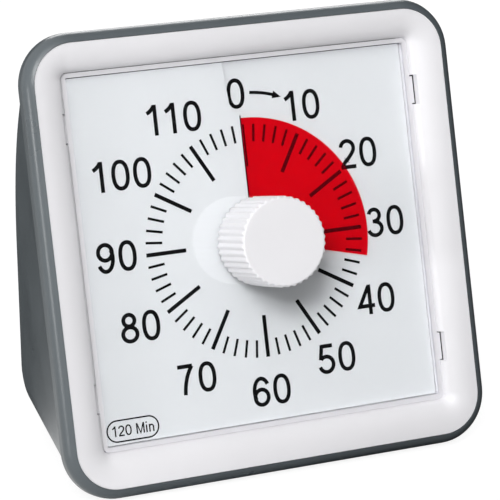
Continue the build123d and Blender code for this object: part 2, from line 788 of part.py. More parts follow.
def make_winding():
    middle_y, middle_z = core_middle
    span = (coil_x[0] + coil_flange, coil_x[1] - coil_flange)
    size = coil_half - winding_inset
    winding = block(span, (middle_y - size, middle_y + size), (middle_z - size, middle_z + size))
    winding = fillet(winding.edges().filter_by(Axis.X), coil_round)
    return winding - block(span, *around_core(bobbin_gap + bobbin_wall))


# --------------------------------------------------------- movement housing
def housing_half(outer_level, wall_level, split):
    """One half of the movement housing: flat wall, side walls and screw posts."""
    middle = (0, movement_up)
    span = sorted((outer_level, split))
    outside = slab(movement_width, movement_height, movement_corner, span, middle)
    inner = (movement_width - 2 * movement_wall, movement_height - 2 * movement_wall)
    shell = outside - slab(*inner, movement_corner - movement_wall, sorted((wall_level, split)), middle)
    for at in movement_screw_at:
        shell += rod(housing_post, span, at) & outside
        shell -= rod(small_screw[0] + fit_gap, span, at)
    return shell


def pivot_holes(z):
    return [rod(arbor_radius + running_gap, z, at) for at in (second_at, third_at, rotor_at)]


def make_movement_base():
    inside = movement_front - movement_wall
    base = housing_half(movement_front, inside, movement_split)
    for at in rest_pillars:
        base += rod(rest_radius, (stator_level[1], inside), at)
    for hole in pivot_holes((inside, inside + pivot_depth)):
        base -= hole
    return base - rod(bush_radius, (inside, movement_front))


def make_movement_cover():
    inside = movement_rear + movement_wall
    cover = housing_half(movement_rear, inside, movement_split)
    for hole in pivot_holes((inside - pivot_depth, inside)):
        cover -= hole
    return cover - rod(lead_radius + fit_gap, (movement_rear, inside), lead_at)


# ------------------------------------------------- back: board, battery, door
def make_battery():
    low = tip_end - battery_length
    shoulder = tip_end - tip_height
    can = cross_rod(battery_radius, (low, shoulder), battery_middle, battery_depth)
    can = fillet(can.edges().filter_by(GeomType.CIRCLE), can_round)
    return can + cross_rod(tip_radius, (shoulder, tip_end), battery_middle, battery_depth)


def contact_strip(side):
    x = side * contact_at
    pad = block(
        (x - contact_half, x + contact_half), (battery_middle - contact_pad, battery_middle + contact_pad),
        (battery_depth - contact_pad, battery_depth + contact_rise))
    return pad + around(x, contact_half, tail_depth, tail_half, (battery_middle, board_low + tail_reach))


def make_negative_contact():
    """Contact strip with the battery's spring."""
    start = -contact_at + contact_half + spring_wire - spring_lap
    length = tip_end - battery_length + contact_at - contact_half - 2 * spring_wire
    helix = Edge.make_helix(length / spring_turns, length, spring_coil)
    ring = Plane(origin=helix @ 0, z_dir=helix % 0) * Circle(spring_wire)
    spring = sweep(ring, helix, is_frenet=True)
    place = Plane(origin=(start, battery_middle, battery_depth), x_dir=(0, 1, 0), z_dir=(1, 0, 0)).location
    return contact_strip(-1) + place * spring


def make_board():
    board = block((-board_half, board_half), (board_low, board_high), (board_front, board_depth))
    for at in board_screw_at:
        board -= rod(small_screw[0] + fit_gap, (board_front, board_depth), at)
    return board


def make_crystal():
    return cross_rod(crystal_radius, crystal_x, board_low + crystal_up, board_front - crystal_radius)


def make_chip():
    chip_y = (board_low + chip_up[0], board_low + chip_up[1])
    chip = block(chip_x, chip_y, (board_front - chip_height, board_front))
    return chamfer(chip.faces().sort_by(Axis.Z)[0].edges(), chip_edge)


def make_capacitor():
    at = (capacitor_at[0], board_low + capacitor_at[1])
    return rod(capacitor_radius, (board_front - capacitor_height, board_front), at)


def make_buzzer():
    top = board_depth + buzzer_height
    port_radius, port_depth = buzzer_port
    port = rod(port_radius, (top - port_depth, top), buzzer_at)
    return rod(buzzer_radius, (board_depth, top), buzzer_at) - port


def make_switch():
    return around_middle(0, slider_up, switch_half, (board_depth, switch_top))


def make_slider():
    """Slider at its rest place, at the quiet end of its travel."""
    middle = -slider_travel / 2
    foot_top = -wall - fit_gap
    foot = around_middle(middle, slider_up, slider_foot, (switch_top + fit_gap, foot_top))
    return foot + around_middle(middle, slider_up, slider_stem, (foot_top, slider_proud))


def make_door():
    side = door_half - door_gap
    pin_end = door_half + hinge_end - door_gap
    door = block((-side, side), (hinge_up, door_high - door_gap), (-wall + fit_gap, 0))
    door += cross_rod(hinge_barrel, (-side, side), hinge_up, hinge_depth)
    door += cross_rod(hinge_pin, (-pin_end, pin_end), hinge_up, hinge_depth)
    # Finger notch at the free edge
    return door - Pos(0, door_high, finger_out) * Sphere(finger_radius)


def make_lead():
    """Two-core lead from the movement to the circuit board, in the plane of its hole."""
    start = across(lead_at[1], movement_rear + lead_start)
    leave = across(lead_at[1], movement_rear - lead_out)
    board_up = board_low + lead_board_up

    def at_back(up, depth):
        spot = (back * Pos(0, up, depth)).position
        return (spot.Y, spot.Z)

    route = [start, leave, at_back(board_up, board_front - lead_board_out), at_back(board_up, board_front)]
    runs = [hypot(b[0] - a[0], b[1] - a[1]) for a, b in zip(route, route[1:])]
    radii = []
    for i in (1, 2):
        before = Vector(route[i][0] - route[i - 1][0], route[i][1] - route[i - 1][1])
        after = Vector(route[i + 1][0] - route[i][0], route[i + 1][1] - route[i][1])
        turn = before.get_angle(after)
        radii.append(lead_ease * min(runs[i - 1], runs[i]) / tan(radians(turn / 2)))
    path = FilletPolyline(*[(lead_at[0], y, z) for y, z in route], radius=radii)
    ring = Plane(origin=path @ 0, z_dir=path % 0) * Circle(lead_radius)
    return sweep(ring, path)


# ------------------------------------------------------------------ pieces
def in_face(shape):
    """Place a shape, or a list of them, from the face frame into the world."""
    return [face * s for s in shape] if isinstance(shape, list) else face * shape


def in_back(shape):
    """Place a shape, or a list of them, from the back frame into the world."""
    return [back * s for s in shape] if isinstance(shape, list) else back * shape


pieces = {
    "rear_case": make_rear_case(),
    "rubber_feet": make_rubber_feet(),
    "front_bezel": in_face(make_bezel()),
    "front_window": in_face(make_window()),
    "dial_face": in_face(make_dial()),
    "red_disc": in_face(make_film()),
    "dial_backplate": in_face(make_backplate()),
    "setting_knob": in_face(make_knob()),
    "disc_hub": in_face(make_hub()),
    "spindle": in_face(make_spindle()),
    "spindle_bush": in_face(make_bush()),
    "clutch_washer": in_face(make_clutch_washer()),
    "retaining_clip": in_face(make_retaining_clip()),
    "drive_wheel": in_face(make_drive_wheel()),
    "second_wheel": in_face(make_second_wheel()),
    "third_wheel": in_face(make_third_wheel()),
    "rotor": in_face(make_rotor()),
    "rotor_magnet": in_face(make_magnet()),
    "stator_plate": in_face(make_stator()),
    "coil_core": in_face(make_core()),
    "coil_bobbin": in_face(make_bobbin()),
    "coil_winding": in_face(make_winding()),
    "movement_base": in_face(make_movement_base()),
    "movement_cover": in_face(make_movement_cover()),
    "movement_screws": in_face(screws(small_screw, movement_screw, movement_screw_at, movement_rear)),
    "plate_screws": in_face(screws(small_screw, screw_grip, framed(plate_screw_at), plate_back)),
    "case_screws": in_face(screws(case_screw, screw_grip, framed(case_screw_at), case_head)),
    "circuit_board": in_back(make_board()),
    "timer_chip": in_back(make_chip()),
    "quartz_crystal": in_back(make_crystal()),
    "capacitor": in_back(make_capacitor()),
    "board_screws": in_back(screws(small_screw, board_thick + board_grip, board_screw_at, board_front)),
    "buzzer": in_back(make_buzzer()),
    "alarm_switch": in_back(make_switch()),
    "alarm_slider": in_back(make_slider()),
    "battery": in_back(make_battery()),
    "contact_positive": in_back(contact_strip(1)),
    "contact_negative": in_back(make_negative_contact()),
    "battery_door": in_back(make_door()),
    "motor_lead": make_lead(),
}

for name, shape in pieces.items():
    solids = shape if isinstance(shape, list) else [shape]
    export_step(Compound(children=[s for part in solids for s in part.solids()]), f"parts/{name}.step")
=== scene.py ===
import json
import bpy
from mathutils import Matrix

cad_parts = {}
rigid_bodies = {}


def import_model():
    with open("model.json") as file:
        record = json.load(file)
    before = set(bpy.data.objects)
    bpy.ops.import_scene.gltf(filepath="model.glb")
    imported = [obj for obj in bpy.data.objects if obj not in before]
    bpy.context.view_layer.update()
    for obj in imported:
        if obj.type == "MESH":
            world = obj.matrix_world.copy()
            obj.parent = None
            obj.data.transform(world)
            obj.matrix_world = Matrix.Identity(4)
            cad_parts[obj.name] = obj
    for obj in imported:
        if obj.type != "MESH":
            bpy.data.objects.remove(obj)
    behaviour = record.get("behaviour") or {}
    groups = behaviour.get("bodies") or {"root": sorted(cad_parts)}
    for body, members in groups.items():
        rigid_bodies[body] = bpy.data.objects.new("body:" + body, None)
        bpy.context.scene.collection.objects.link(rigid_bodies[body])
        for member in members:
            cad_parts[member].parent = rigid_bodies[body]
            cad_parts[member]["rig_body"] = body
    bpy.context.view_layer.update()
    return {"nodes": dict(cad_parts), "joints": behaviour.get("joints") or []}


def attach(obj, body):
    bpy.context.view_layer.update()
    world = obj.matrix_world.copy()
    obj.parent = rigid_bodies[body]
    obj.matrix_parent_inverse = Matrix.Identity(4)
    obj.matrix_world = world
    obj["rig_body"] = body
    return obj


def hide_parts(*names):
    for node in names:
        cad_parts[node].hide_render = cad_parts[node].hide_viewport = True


bl_info = {
    "name": "Visual Countdown Timer",
    "version": (1, 0, 0),
    "blender": (4, 5, 0),
    "location": "3D View > Sidebar > Timer",
    "description": "Dresses the timer's solids with finished pieces, materials and a small studio",
    "category": "Object",
}

from contextlib import contextmanager
from math import atan2, cos, degrees, pi, radians, sin

import bmesh
import bpy
from mathutils import Matrix, Vector

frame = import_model()

# ---- frames
# Pieces are drawn in millimetres in the face frame: x to the right, y up the
# leaning face, z out of the face, origin on the knob axis at the dial's middle
# level. FACE takes such a point to the scene, in metres, and TO_FACE back.
MM = 0.001
knob_turn = next(j for j in frame["joints"] if j["name"] == "knob_turn")
face_normal = -Vector(knob_turn["axis"]).normalized()
face_right = Vector((1, 0, 0))
face_up = face_normal.cross(face_right)
FACE = Matrix((face_right, face_up, face_normal)).transposed().to_4x4()
FACE.translation = Vector(knob_turn["pos_m"])
FACE = FACE @ Matrix.Scale(MM, 4)
TO_FACE = FACE.inverted()
MERGE = 0.001               # points nearer than this are one, in mm
ON_WALL = 0.01              # a face whose middle is nearer than this to a wall lies in it, in mm

# Sizes that the printed sheet, the window and the knob share with the solids, in mm
DIAL_RISE = 0.9             # height gained round one turn of the dial sheet
DIAL_SHEET = 0.3
SLIT = ((0.0, -0.8), (33.4, -0.8), (35.8, -3.2), (48.5, -4.2))    # height, left edge
WINDOW_INNER = 47.7         # inside of the window's side walls, from the middle
CLIP_SLOT_END = 50.15       # outer wall of the slots for the window's clips
CLIP_TOP = 2.0              # level of the clips' front
KNOB_RADIUS = 11.8
KNOB_END = 20.2
KNOB_START = 2.8
KNOB_WALL = 1.5
KNOB_TOP = 3.2
KNOB_BEVEL = 0.2            # round the open end
KNOB_FLAT = 0.3             # a ring this far inside the end's rounding keeps the end's shading flat
BOSS_RADIUS = 4.5
BOSS_START = 1.1
BORE_RADIUS = 2.0
BORE_END = 13.05

# Ribs of the knob
RIB_POINTS = 8              # points round the knob for each rib
GROOVE_POWER = 1.4          # above 1, the grooves are narrower than the ribs

# Print on the dial, in mm: middles of the numbers, and the arrow's start, aim and end
NUMBER_PLACES = {
    "0": (-0.8, 39.0), "10": (17.5, 34.1), "20": (32.1, 19.7), "30": (38.0, 0.6), "40": (32.9, -19.7),
    "50": (19.5, -33.8), "60": (-0.1, -39.7), "70": (-20.8, -33.5), "80": (-34.6, -18.0), "90": (-38.9, 0.7),
    "100": (-35.1, 21.5), "110": (-19.2, 34.5)}
ZERO_MARK_LEFT = 0.03       # the half mark at 0 starts this far right of the middle
LONG_EVERY = 5              # every fifth mark is long
ARROW = ((3.1, 38.9), (7.2, 38.6), (10.4, 37.4))
ARROW_PEN = 0.85
ARROW_OVERLAP = 0.5         # the shaft ends this far before the arrow's end, inside the head
ARROW_TIP = 1.6             # how far the head reaches beyond the arrow's end
ARROW_BARB = 0.9            # and how far back its corners lie
ARROW_HALF = 1.05           # half the head's width
LABEL_PLACE = (-39.8, -44.0)
LABEL_SIZE = (14.2, 5.5)
LABEL_PEN = 0.4
LABEL_TEXT = 2.8            # height of the label's letters
LABEL_TEXT_PEN = 0.38
LABEL_STEP = 0.70           # from one figure to the next, as a share of their height


# ---- helpers
def hex_colour(text):
    """Linear RGBA of an sRGB hex colour."""
    channels = [int(text[i:i + 2], 16) / 255 for i in (1, 3, 5)]
    linear = [c / 12.92 if c <= 0.04045 else ((c + 0.055) / 1.055) ** 2.4 for c in channels]
    return (*linear, 1.0)


MATH = "ShaderNodeMath"


def add_node(tree, kind, inputs=None, **settings):
    """Adds a node and sets its properties and inputs.

    An input is given a value, a socket to join it to, or a node, which stands for its first output.
    """
    node = tree.nodes.new(kind)
    for name, value in settings.items():
        setattr(node, name, value)
    for key, given in (inputs or {}).items():
        if isinstance(given, bpy.types.Node):
            given = given.outputs[0]
        if isinstance(given, bpy.types.NodeSocket):
            tree.links.new(given, node.inputs[key])
        else:
            node.inputs[key].default_value = given
    return node


def new_material(name, values):
    """Material with a Principled shader of the given values, its tree and the shader."""
    material = bpy.data.materials.new(name)
    material.use_nodes = True
    tree = material.node_tree
    tree.nodes.clear()
    shader = add_node(tree, "ShaderNodeBsdfPrincipled", values)
    add_node(tree, "ShaderNodeOutputMaterial", {"Surface": shader})
    return material, tree, shader


@contextmanager
def editing(mesh):
    """Opens a mesh for editing, and writes it back at the end."""
    bm = bmesh.new()
    bm.from_mesh(mesh)
    yield bm
    bm.to_mesh(mesh)
    bm.free()


def new_mesh(name, points, faces):
    """Closed mesh from points in the face frame, with its faces turned outwards."""
    mesh = bpy.data.meshes.new(name)
    mesh.from_pydata([FACE @ Vector(p) for p in points], [], faces)
    with editing(mesh) as bm:
        bmesh.ops.recalc_face_normals(bm, faces=bm.faces)
    return mesh


def new_object(name, mesh, material):
    """Object of a mesh in one material, linked to the scene."""
    mesh.materials.clear()
    mesh.materials.append(material)
    obj = bpy.data.objects.new(name, mesh)
    bpy.context.scene.collection.objects.link(obj)
    return obj


def joined(first, second):
    """Two shapes in one, each given as (points, faces)."""
    points, faces = first
    more_points, more_faces = second
    shift = len(points)
    return points + more_points, faces + [tuple(i + shift for i in face) for face in more_faces]


def soften(mesh, angle=30):
    """Smooth shading, with edges sharper than the angle kept crisp."""
    mesh.shade_smooth()
    mesh.set_sharp_from_angle(angle=radians(angle))


def settle(obj):
    """Turns a piece and its modifiers into a plain mesh."""
    depsgraph = bpy.context.evaluated_depsgraph_get()
    mesh = bpy.data.meshes.new_from_object(
        obj.evaluated_get(depsgraph), preserve_all_data_layers=True, depsgraph=depsgraph)
    obj.modifiers.clear()
    old = obj.data
    obj.data = mesh
    mesh.name = obj.name
    bpy.data.meshes.remove(old)


def smooth_copy(node, name, material, angle=30, bevel=0.0):
    """Merged, smoothly shaded copy of a solid, which stands for it; bevel is in mm."""
    source = frame["nodes"][node]
    bm = bmesh.new()
    bm.from_mesh(source.data)
    bmesh.ops.remove_doubles(bm, verts=bm.verts, dist=MERGE * MM)
    bm.verts.index_update()
    points = [v.co.copy() for v in bm.verts]
    faces = [[v.index for v in f.verts] for f in bm.faces]
    bm.free()
    mesh = bpy.data.meshes.new(name)
    mesh.from_pydata(points, [], faces)
    soften(mesh, angle)
    obj = new_object(name, mesh, material)
    if bevel:
        edge = obj.modifiers.new("edge", "BEVEL")
        edge.width = bevel * MM
        edge.segments = 2
        edge.limit_method = "ANGLE"
        edge.angle_limit = radians(angle)
        edge.harden_normals = True
    even = obj.modifiers.new("even", "WEIGHTED_NORMAL")
    even.keep_sharp = True
    settle(obj)
    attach(obj, source["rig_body"])
    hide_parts(node)
    return obj


def dress(material, *nodes):
    """Gives solids that stay as they are their finished material."""
    for name in nodes:
        obj = frame["nodes"][name]
        if not obj.material_slots:
            obj.data.materials.append(material)
        for entry in obj.material_slots:
            entry.material = material


def print_on_dial(obj):
    """A printed piece stands with the case."""
    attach(obj, "case")


# ---- materials
NOISE_SPAN = (0.3, 0.7)     # nearly all of a noise lies between these levels
CLOUD = 18.0                # size of the slow changes in a moulding's surface, in mm


def press_texture(tree, shader, size, depth, strength, detail, roughness=0.5):
    """Presses fine random pits into a surface, size wide and depth deep in mm; returns their noise."""
    place = add_node(tree, "ShaderNodeTexCoord").outputs["Object"]
    pits = add_node(tree, "ShaderNodeTexNoise", {
        "Vector": place, "Scale": 1 / (size * MM), "Detail": detail, "Roughness": roughness})
    bump = add_node(tree, "ShaderNodeBump", {
        "Strength": strength, "Distance": depth * MM, "Height": pits.outputs["Fac"]})
    tree.links.new(bump.outputs["Normal"], shader.inputs["Normal"])
    return pits.outputs["Fac"]


def vary_colour(tree, shader, colour, noise, levels, span=(0.0, 1.0)):
    """Lightens and darkens a colour between two levels, as a noise crosses its span."""
    shade = add_node(tree, "ShaderNodeMapRange", {
        "Value": noise, "From Min": span[0], "From Max": span[1], "To Min": levels[0], "To Max": levels[1]})
    base = add_node(
        tree, "ShaderNodeMix", {"Factor": 1.0, "A": colour, "B": shade.outputs["Result"]},
        data_type="RGBA", blend_type="MULTIPLY")
    tree.links.new(base.outputs["Result"], shader.inputs["Base Color"])


def vary_roughness(tree, shader, roughness, spread, noise, span=(0.0, 1.0)):
    """Moves the roughness by the spread to either side, as a noise crosses its span."""
    rough = add_node(tree, "ShaderNodeMapRange", {
        "Value": noise, "From Min": span[0], "From Max": span[1],
        "To Min": roughness - spread, "To Max": roughness + spread})
    tree.links.new(rough.outputs["Result"], shader.inputs["Roughness"])


def moulded_plastic(name, colour, roughness, grain, depth, tone=0.04):
    """Injection-moulded plastic: even colour, with the grain of the mould's surface.

    grain is the size of one pit of the texture and depth its depth, in mm.
    """
    material, tree, shader = new_material(name, {"IOR": 1.53})
    place = add_node(tree, "ShaderNodeTexCoord").outputs["Object"]
    cloud = add_node(tree, "ShaderNodeTexNoise", {
        "Vector": place, "Scale": 1 / (CLOUD * MM), "Detail": 3.0}).outputs["Fac"]
    vary_colour(tree, shader, colour, cloud, (1 - tone, 1 + tone), NOISE_SPAN)
    vary_roughness(tree, shader, roughness, spread=0.04, noise=cloud, span=NOISE_SPAN)
    press_texture(tree, shader, grain, depth, strength=0.6, detail=2.0, roughness=0.6)
    return material


def plain_metal(name, colour, roughness, scratch):
    """Metal with fine working marks; scratch is their spacing in mm."""
    material, tree, shader = new_material(name, {"Base Color": colour, "Metallic": 1.0})
    marks = press_texture(tree, shader, scratch, depth=0.01, strength=0.3, detail=4.0, roughness=0.7)
    vary_roughness(tree, shader, roughness, spread=0.08, noise=marks)
    return material


def let_light_through(tree, shader, tint):
    """Lamps shine through the surface, tinted, while the eye sees the shader itself."""
    path = add_node(tree, "ShaderNodeLightPath")
    clear = add_node(tree, "ShaderNodeBsdfTransparent", {"Color": tint})
    mix = add_node(tree, "ShaderNodeMixShader", {"Fac": path.outputs["Is Shadow Ray"], 1: shader, 2: clear})
    output = next(n for n in tree.nodes if n.type == "OUTPUT_MATERIAL")
    tree.links.new(mix.outputs["Shader"], output.inputs["Surface"])


def clear_acrylic(name, colour, clear, roughness):
    """Injection-moulded acrylic; clear is the share of the light that goes through."""
    material, tree, shader = new_material(name, {
        "Base Color": colour, "Transmission Weight": clear, "Roughness": roughness, "IOR": 1.49})
    let_light_through(tree, shader, colour)
    return material


def printed_card(colour):
    """Satin-coated card: pale and even, with a soft sheen and a faint fibre."""
    material, tree, shader = new_material("satin_coated_card", {"Roughness": 0.5})
    fibre = press_texture(tree, shader, size=0.6, depth=0.005, strength=0.3, detail=3.0, roughness=0.6)
    vary_colour(tree, shader, colour, fibre, (0.985, 1.0))
    return material


def red_film(colour):
    """Calendered PVC film: deep translucent red that darkens the print under it."""
    material, tree, shader = new_material("translucent_red_pvc_film", {
        "Base Color": colour, "Transmission Weight": 0.95, "Roughness": 0.1, "IOR": 1.3})
    press_texture(tree, shader, size=1.2, depth=0.004, strength=0.3, detail=2.0)
    let_light_through(tree, shader, colour)
    return material


def printing_ink(colour):
    """Screen-printed ink: dense black with a slight sheen, uneven where the mesh left specks."""
    material, tree, shader = new_material("black_screen_ink", {
        "Base Color": colour, "Specular IOR Level": 0.12})
    place = add_node(tree, "ShaderNodeTexCoord").outputs["Object"]
    speck = add_node(tree, "ShaderNodeTexNoise", {"Vector": place, "Scale": 1 / (0.3 * MM), "Detail": 1.0})
    vary_roughness(tree, shader, 0.5, spread=0.1, noise=speck.outputs["Fac"])
    return material


# ---- drawing
def arc(x, y, radius_x, radius_y, start, end, steps=20, square=2.0):
    """Points of an elliptical arc between two angles in degrees; square above 2 fills out its corners."""
    points = []
    for i in range(steps + 1):
        turn = radians(start + (end - start) * i / steps)
        c, s = cos(turn), sin(turn)
        points.append((
            x + radius_x * abs(c) ** (2 / square) * (1 if c >= 0 else -1),
            y + radius_y * abs(s) ** (2 / square) * (1 if s >= 0 else -1)))
    return points


def bend(a, b, c, steps=10):
    """Points of a curve from a to c that leaves and arrives aiming at b."""
    return [tuple((1 - t) ** 2 * a[i] + 2 * t * (1 - t) * b[i] + t ** 2 * c[i] for i in (0, 1))
            for t in (k / steps for k in range(steps + 1))]


def slit_edge(y):
    """Left edge of the dial's slit at a height above the knob axis."""
    for (low, left), (high, right) in zip(SLIT, SLIT[1:]):
        if low <= y <= high:
            return left + (right - left) * (y - low) / (high - low)
    return SLIT[-1][1] if y > 0 else 0.0


def dial_top(x, y):
    """Level of the dial's printed surface: it climbs clockwise from the slit."""
    turn = degrees(atan2(x, y))
    if turn < 0 and not (y > 0 and x >= slit_edge(y)):
        turn += 360
    return -DIAL_RISE / 2 + DIAL_RISE * turn / 360 + DIAL_SHEET / 2


def pen_line(line, width):
    """Left and right edge of each point of a line drawn with a flat pen, and whether it is closed.

    A line that ends where it starts is closed.
    """
    points = [Vector(p) for p in line]
    closed = (points[-1] - points[0]).length < MERGE
    if closed:
        points = points[:-1]
    count = len(points)
    pairs = []
    for i, point in enumerate(points):
        ways = []
        if closed or i > 0:
            ways.append((point - points[i - 1]).normalized())
        if closed or i < count - 1:
            ways.append((points[(i + 1) % count] - point).normalized())
        way = sum(ways, Vector((0, 0))).normalized()
        side = Vector((-way.y, way.x))
        reach = width / 2 / max(1 / MITRE_LIMIT, side.dot(Vector((-ways[0].y, ways[0].x))))
        pairs.append((point + side * reach, point - side * reach))
    return pairs, closed


def ink_solid(lines, width, thick):
    """Points and faces of thin ink solids that follow the dial, one for each line."""
    points, faces = [], []
    for line in lines:
        pairs, closed = pen_line(line, width)
        first = len(points)
        for pair in pairs:
            for edge in pair:
                top = dial_top(*edge)
                points.append((*edge, top + thick / 2))
                points.append((*edge, top - thick / 2))
        count = len(pairs)
        for i in range(count if closed else count - 1):
            a, b = first + 4 * i, first + 4 * ((i + 1) % count)
            for p, q in ((0, 2), (2, 3), (3, 1), (1, 0)):
                faces.append((a + p, a + q, b + q, b + p))
        if not closed:
            last = first + 4 * (count - 1)
            faces.append((first, first + 2, first + 3, first + 1))
            faces.append((last, last + 2, last + 3, last + 1))
    return points, faces


def ink_fill(outline, thick):
    """Points and faces of a thin filled shape that follows the dial."""
    count = len(outline)
    points = [(x, y, dial_top(x, y) + half) for half in (thick / 2, -thick / 2) for x, y in outline]
    faces = [tuple(range(count)), tuple(range(count, 2 * count))]
    faces += [(i, (i + 1) % count, count + (i + 1) % count, count + i) for i in range(count)]
    return points, faces


# Pen lines of the figures and letters, one unit high, with the pen's middle
# half a pen inside the outline.
PEN = 0.133                 # width of the pen
MITRE_LIMIT = 2             # the corner of a line reaches out by this many half pens at most
LOW, HIGH = PEN / 2, 1 - PEN / 2
FIGURE_WIDTH = 0.62
FIGURE_STEP = 0.745         # from one figure to the next
ONES_CLOSER = 0.11          # how much nearer two ones stand
SPACE = 0.38                # width of the space between two words


def figure_lines(figure):
    """The pen lines of one figure."""
    right, middle = FIGURE_WIDTH - LOW, FIGURE_WIDTH / 2
    if figure == "0":
        return [arc(middle, 0.5, right - middle, HIGH - 0.5, 0, 360, 40, 2.3)]
    if figure == "1":
        return [[(0.41, 0.0), (0.41, 1.0)], bend((0.39, 0.97), (0.32, 0.82), (0.13, 0.73))]
    if figure == "2":
        bowl = arc(middle, 0.70, 0.232, HIGH - 0.70, 172, -32)
        tail = bend(bowl[-1], (0.42, 0.44), (0.27, 0.30)) + bend((0.27, 0.30), (0.12, 0.18), (0.085, LOW))
        return [bowl + tail[1:], [(0.03, LOW), (0.585, LOW)]]
    if figure == "3":
        upper = arc(0.30, 0.74, 0.195, HIGH - 0.74, 165, -90)
        lower = arc(0.30, 0.295, 0.245, 0.295 - LOW, 90, -168)
        return [upper, lower, [(0.23, 0.535), (0.31, 0.535)]]
    if figure == "4":
        return [[(0.45, 0.0), (0.45, 1.0)], [(0.43, 0.95), (0.065, 0.29), (0.62, 0.29)]]
    if figure == "5":
        bowl = arc(0.295, 0.325, 0.25, 0.325 - LOW, 138, -165)
        return [[(0.56, HIGH), (0.17, HIGH), (0.095, 0.49)], bowl]
    if figure == "6":
        side = arc(0.335, 0.5, 0.262, HIGH - 0.5, 32, 215)
        return [side, arc(0.318, 0.318, 0.237, 0.318 - LOW, 0, 360, 32)]
    if figure == "7":
        return [[(0.04, HIGH), (0.56, HIGH)], bend((0.545, HIGH), (0.27, 0.56), (0.235, 0.0))]
    if figure == "8":
        return [arc(middle, 0.745, 0.19, HIGH - 0.745, 0, 360, 32),
                arc(middle, 0.297, 0.245, 0.297 - LOW, 0, 360, 32)]
    if figure == "9":
        return [[(FIGURE_WIDTH - x, 1 - y) for x, y in line] for line in figure_lines("6")]
    raise ValueError("no pen lines for the figure " + figure)


def letter_lines(letter):
    """The pen lines and the width of one letter."""
    if letter == "M":
        peak = 0.74
        return [[(LOW, 0.0), (LOW, 1.0)], [(peak, 0.0), (peak, 1.0)],
                [(LOW + 0.02, 0.96), ((LOW + peak) / 2, 0.04), (peak - 0.02, 0.96)]], 0.95
    if letter == "i":
        return [[(LOW, 0.0), (LOW, 0.72)], [(LOW, 0.87), (LOW, 1.0)]], 0.30
    if letter == "n":
        arch = arc(0.25, 0.46, 0.19, 0.26 - LOW, 165, 0) + [(0.44, 0.0)]
        return [[(LOW, 0.0), (LOW, 0.72)], arch], 0.55
    raise ValueError("no pen lines for the letter " + letter)


def text_lines(text, height, middle, step=FIGURE_STEP):
    """Pen lines of a short text, centred on a point."""
    lines, x = [], 0.0
    for sign, following in zip(text, text[1:] + " "):
        if sign == " ":
            x += SPACE
            continue
        drawn, width = (figure_lines(sign), step) if sign.isdigit() else letter_lines(sign)
        lines += [[(x + px, py) for px, py in line] for line in drawn]
        x += width - (ONES_CLOSER if sign + following == "11" else 0)
    xs = [px for line in lines for px, py in line]
    centre = (min(xs) + max(xs)) / 2
    return [[(middle[0] + (px - centre) * height, middle[1] + (py - 0.5) * height) for px, py in line]
            for line in lines]


def arrow_solid(thick):
    """Points and faces of the arrow beside 0: a curved shaft and a filled head."""
    shaft = bend(*ARROW)
    end = Vector(ARROW[-1])
    way = (end - Vector(shaft[-2])).normalized()
    side = Vector((-way.y, way.x))
    shaft[-1] = tuple(end - way * ARROW_OVERLAP)
    head = [end + way * ARROW_TIP]
    head += [end - way * ARROW_BARB + side * half for half in (ARROW_HALF, -ARROW_HALF)]
    return joined(ink_solid([shaft], ARROW_PEN, thick), ink_fill([tuple(p) for p in head], thick))


def label_ring():
    """Outline of the range label: a bar with round ends."""
    (x, y), (width, height) = LABEL_PLACE, LABEL_SIZE
    radius = height / 2
    reach = width / 2 - radius
    ring = arc(x + reach, y, radius, radius, -90, 90) + arc(x - reach, y, radius, radius, 90, 270)
    return ring + ring[:1]


# ---- shape by rule
def new_tree(name, inputs):
    """Empty Geometry Nodes tree with inputs of the given kinds, and the sockets they come from."""
    tree = bpy.data.node_groups.new(name, "GeometryNodeTree")
    for title, kind in inputs.items():
        tree.interface.new_socket(name=title, in_out="INPUT", socket_type="NodeSocket" + kind)
    tree.interface.new_socket(name="Geometry", in_out="OUTPUT", socket_type="NodeSocketGeometry")
    return tree, add_node(tree, "NodeGroupInput").outputs


def end_tree(tree, geometry, material):
    """Ends a tree with plain geometry in one material."""
    real = add_node(tree, "GeometryNodeRealizeInstances", {"Geometry": geometry})
    done = add_node(tree, "GeometryNodeSetMaterial", {"Geometry": real, "Material": material})
    add_node(tree, "NodeGroupOutput", {"Geometry": done})


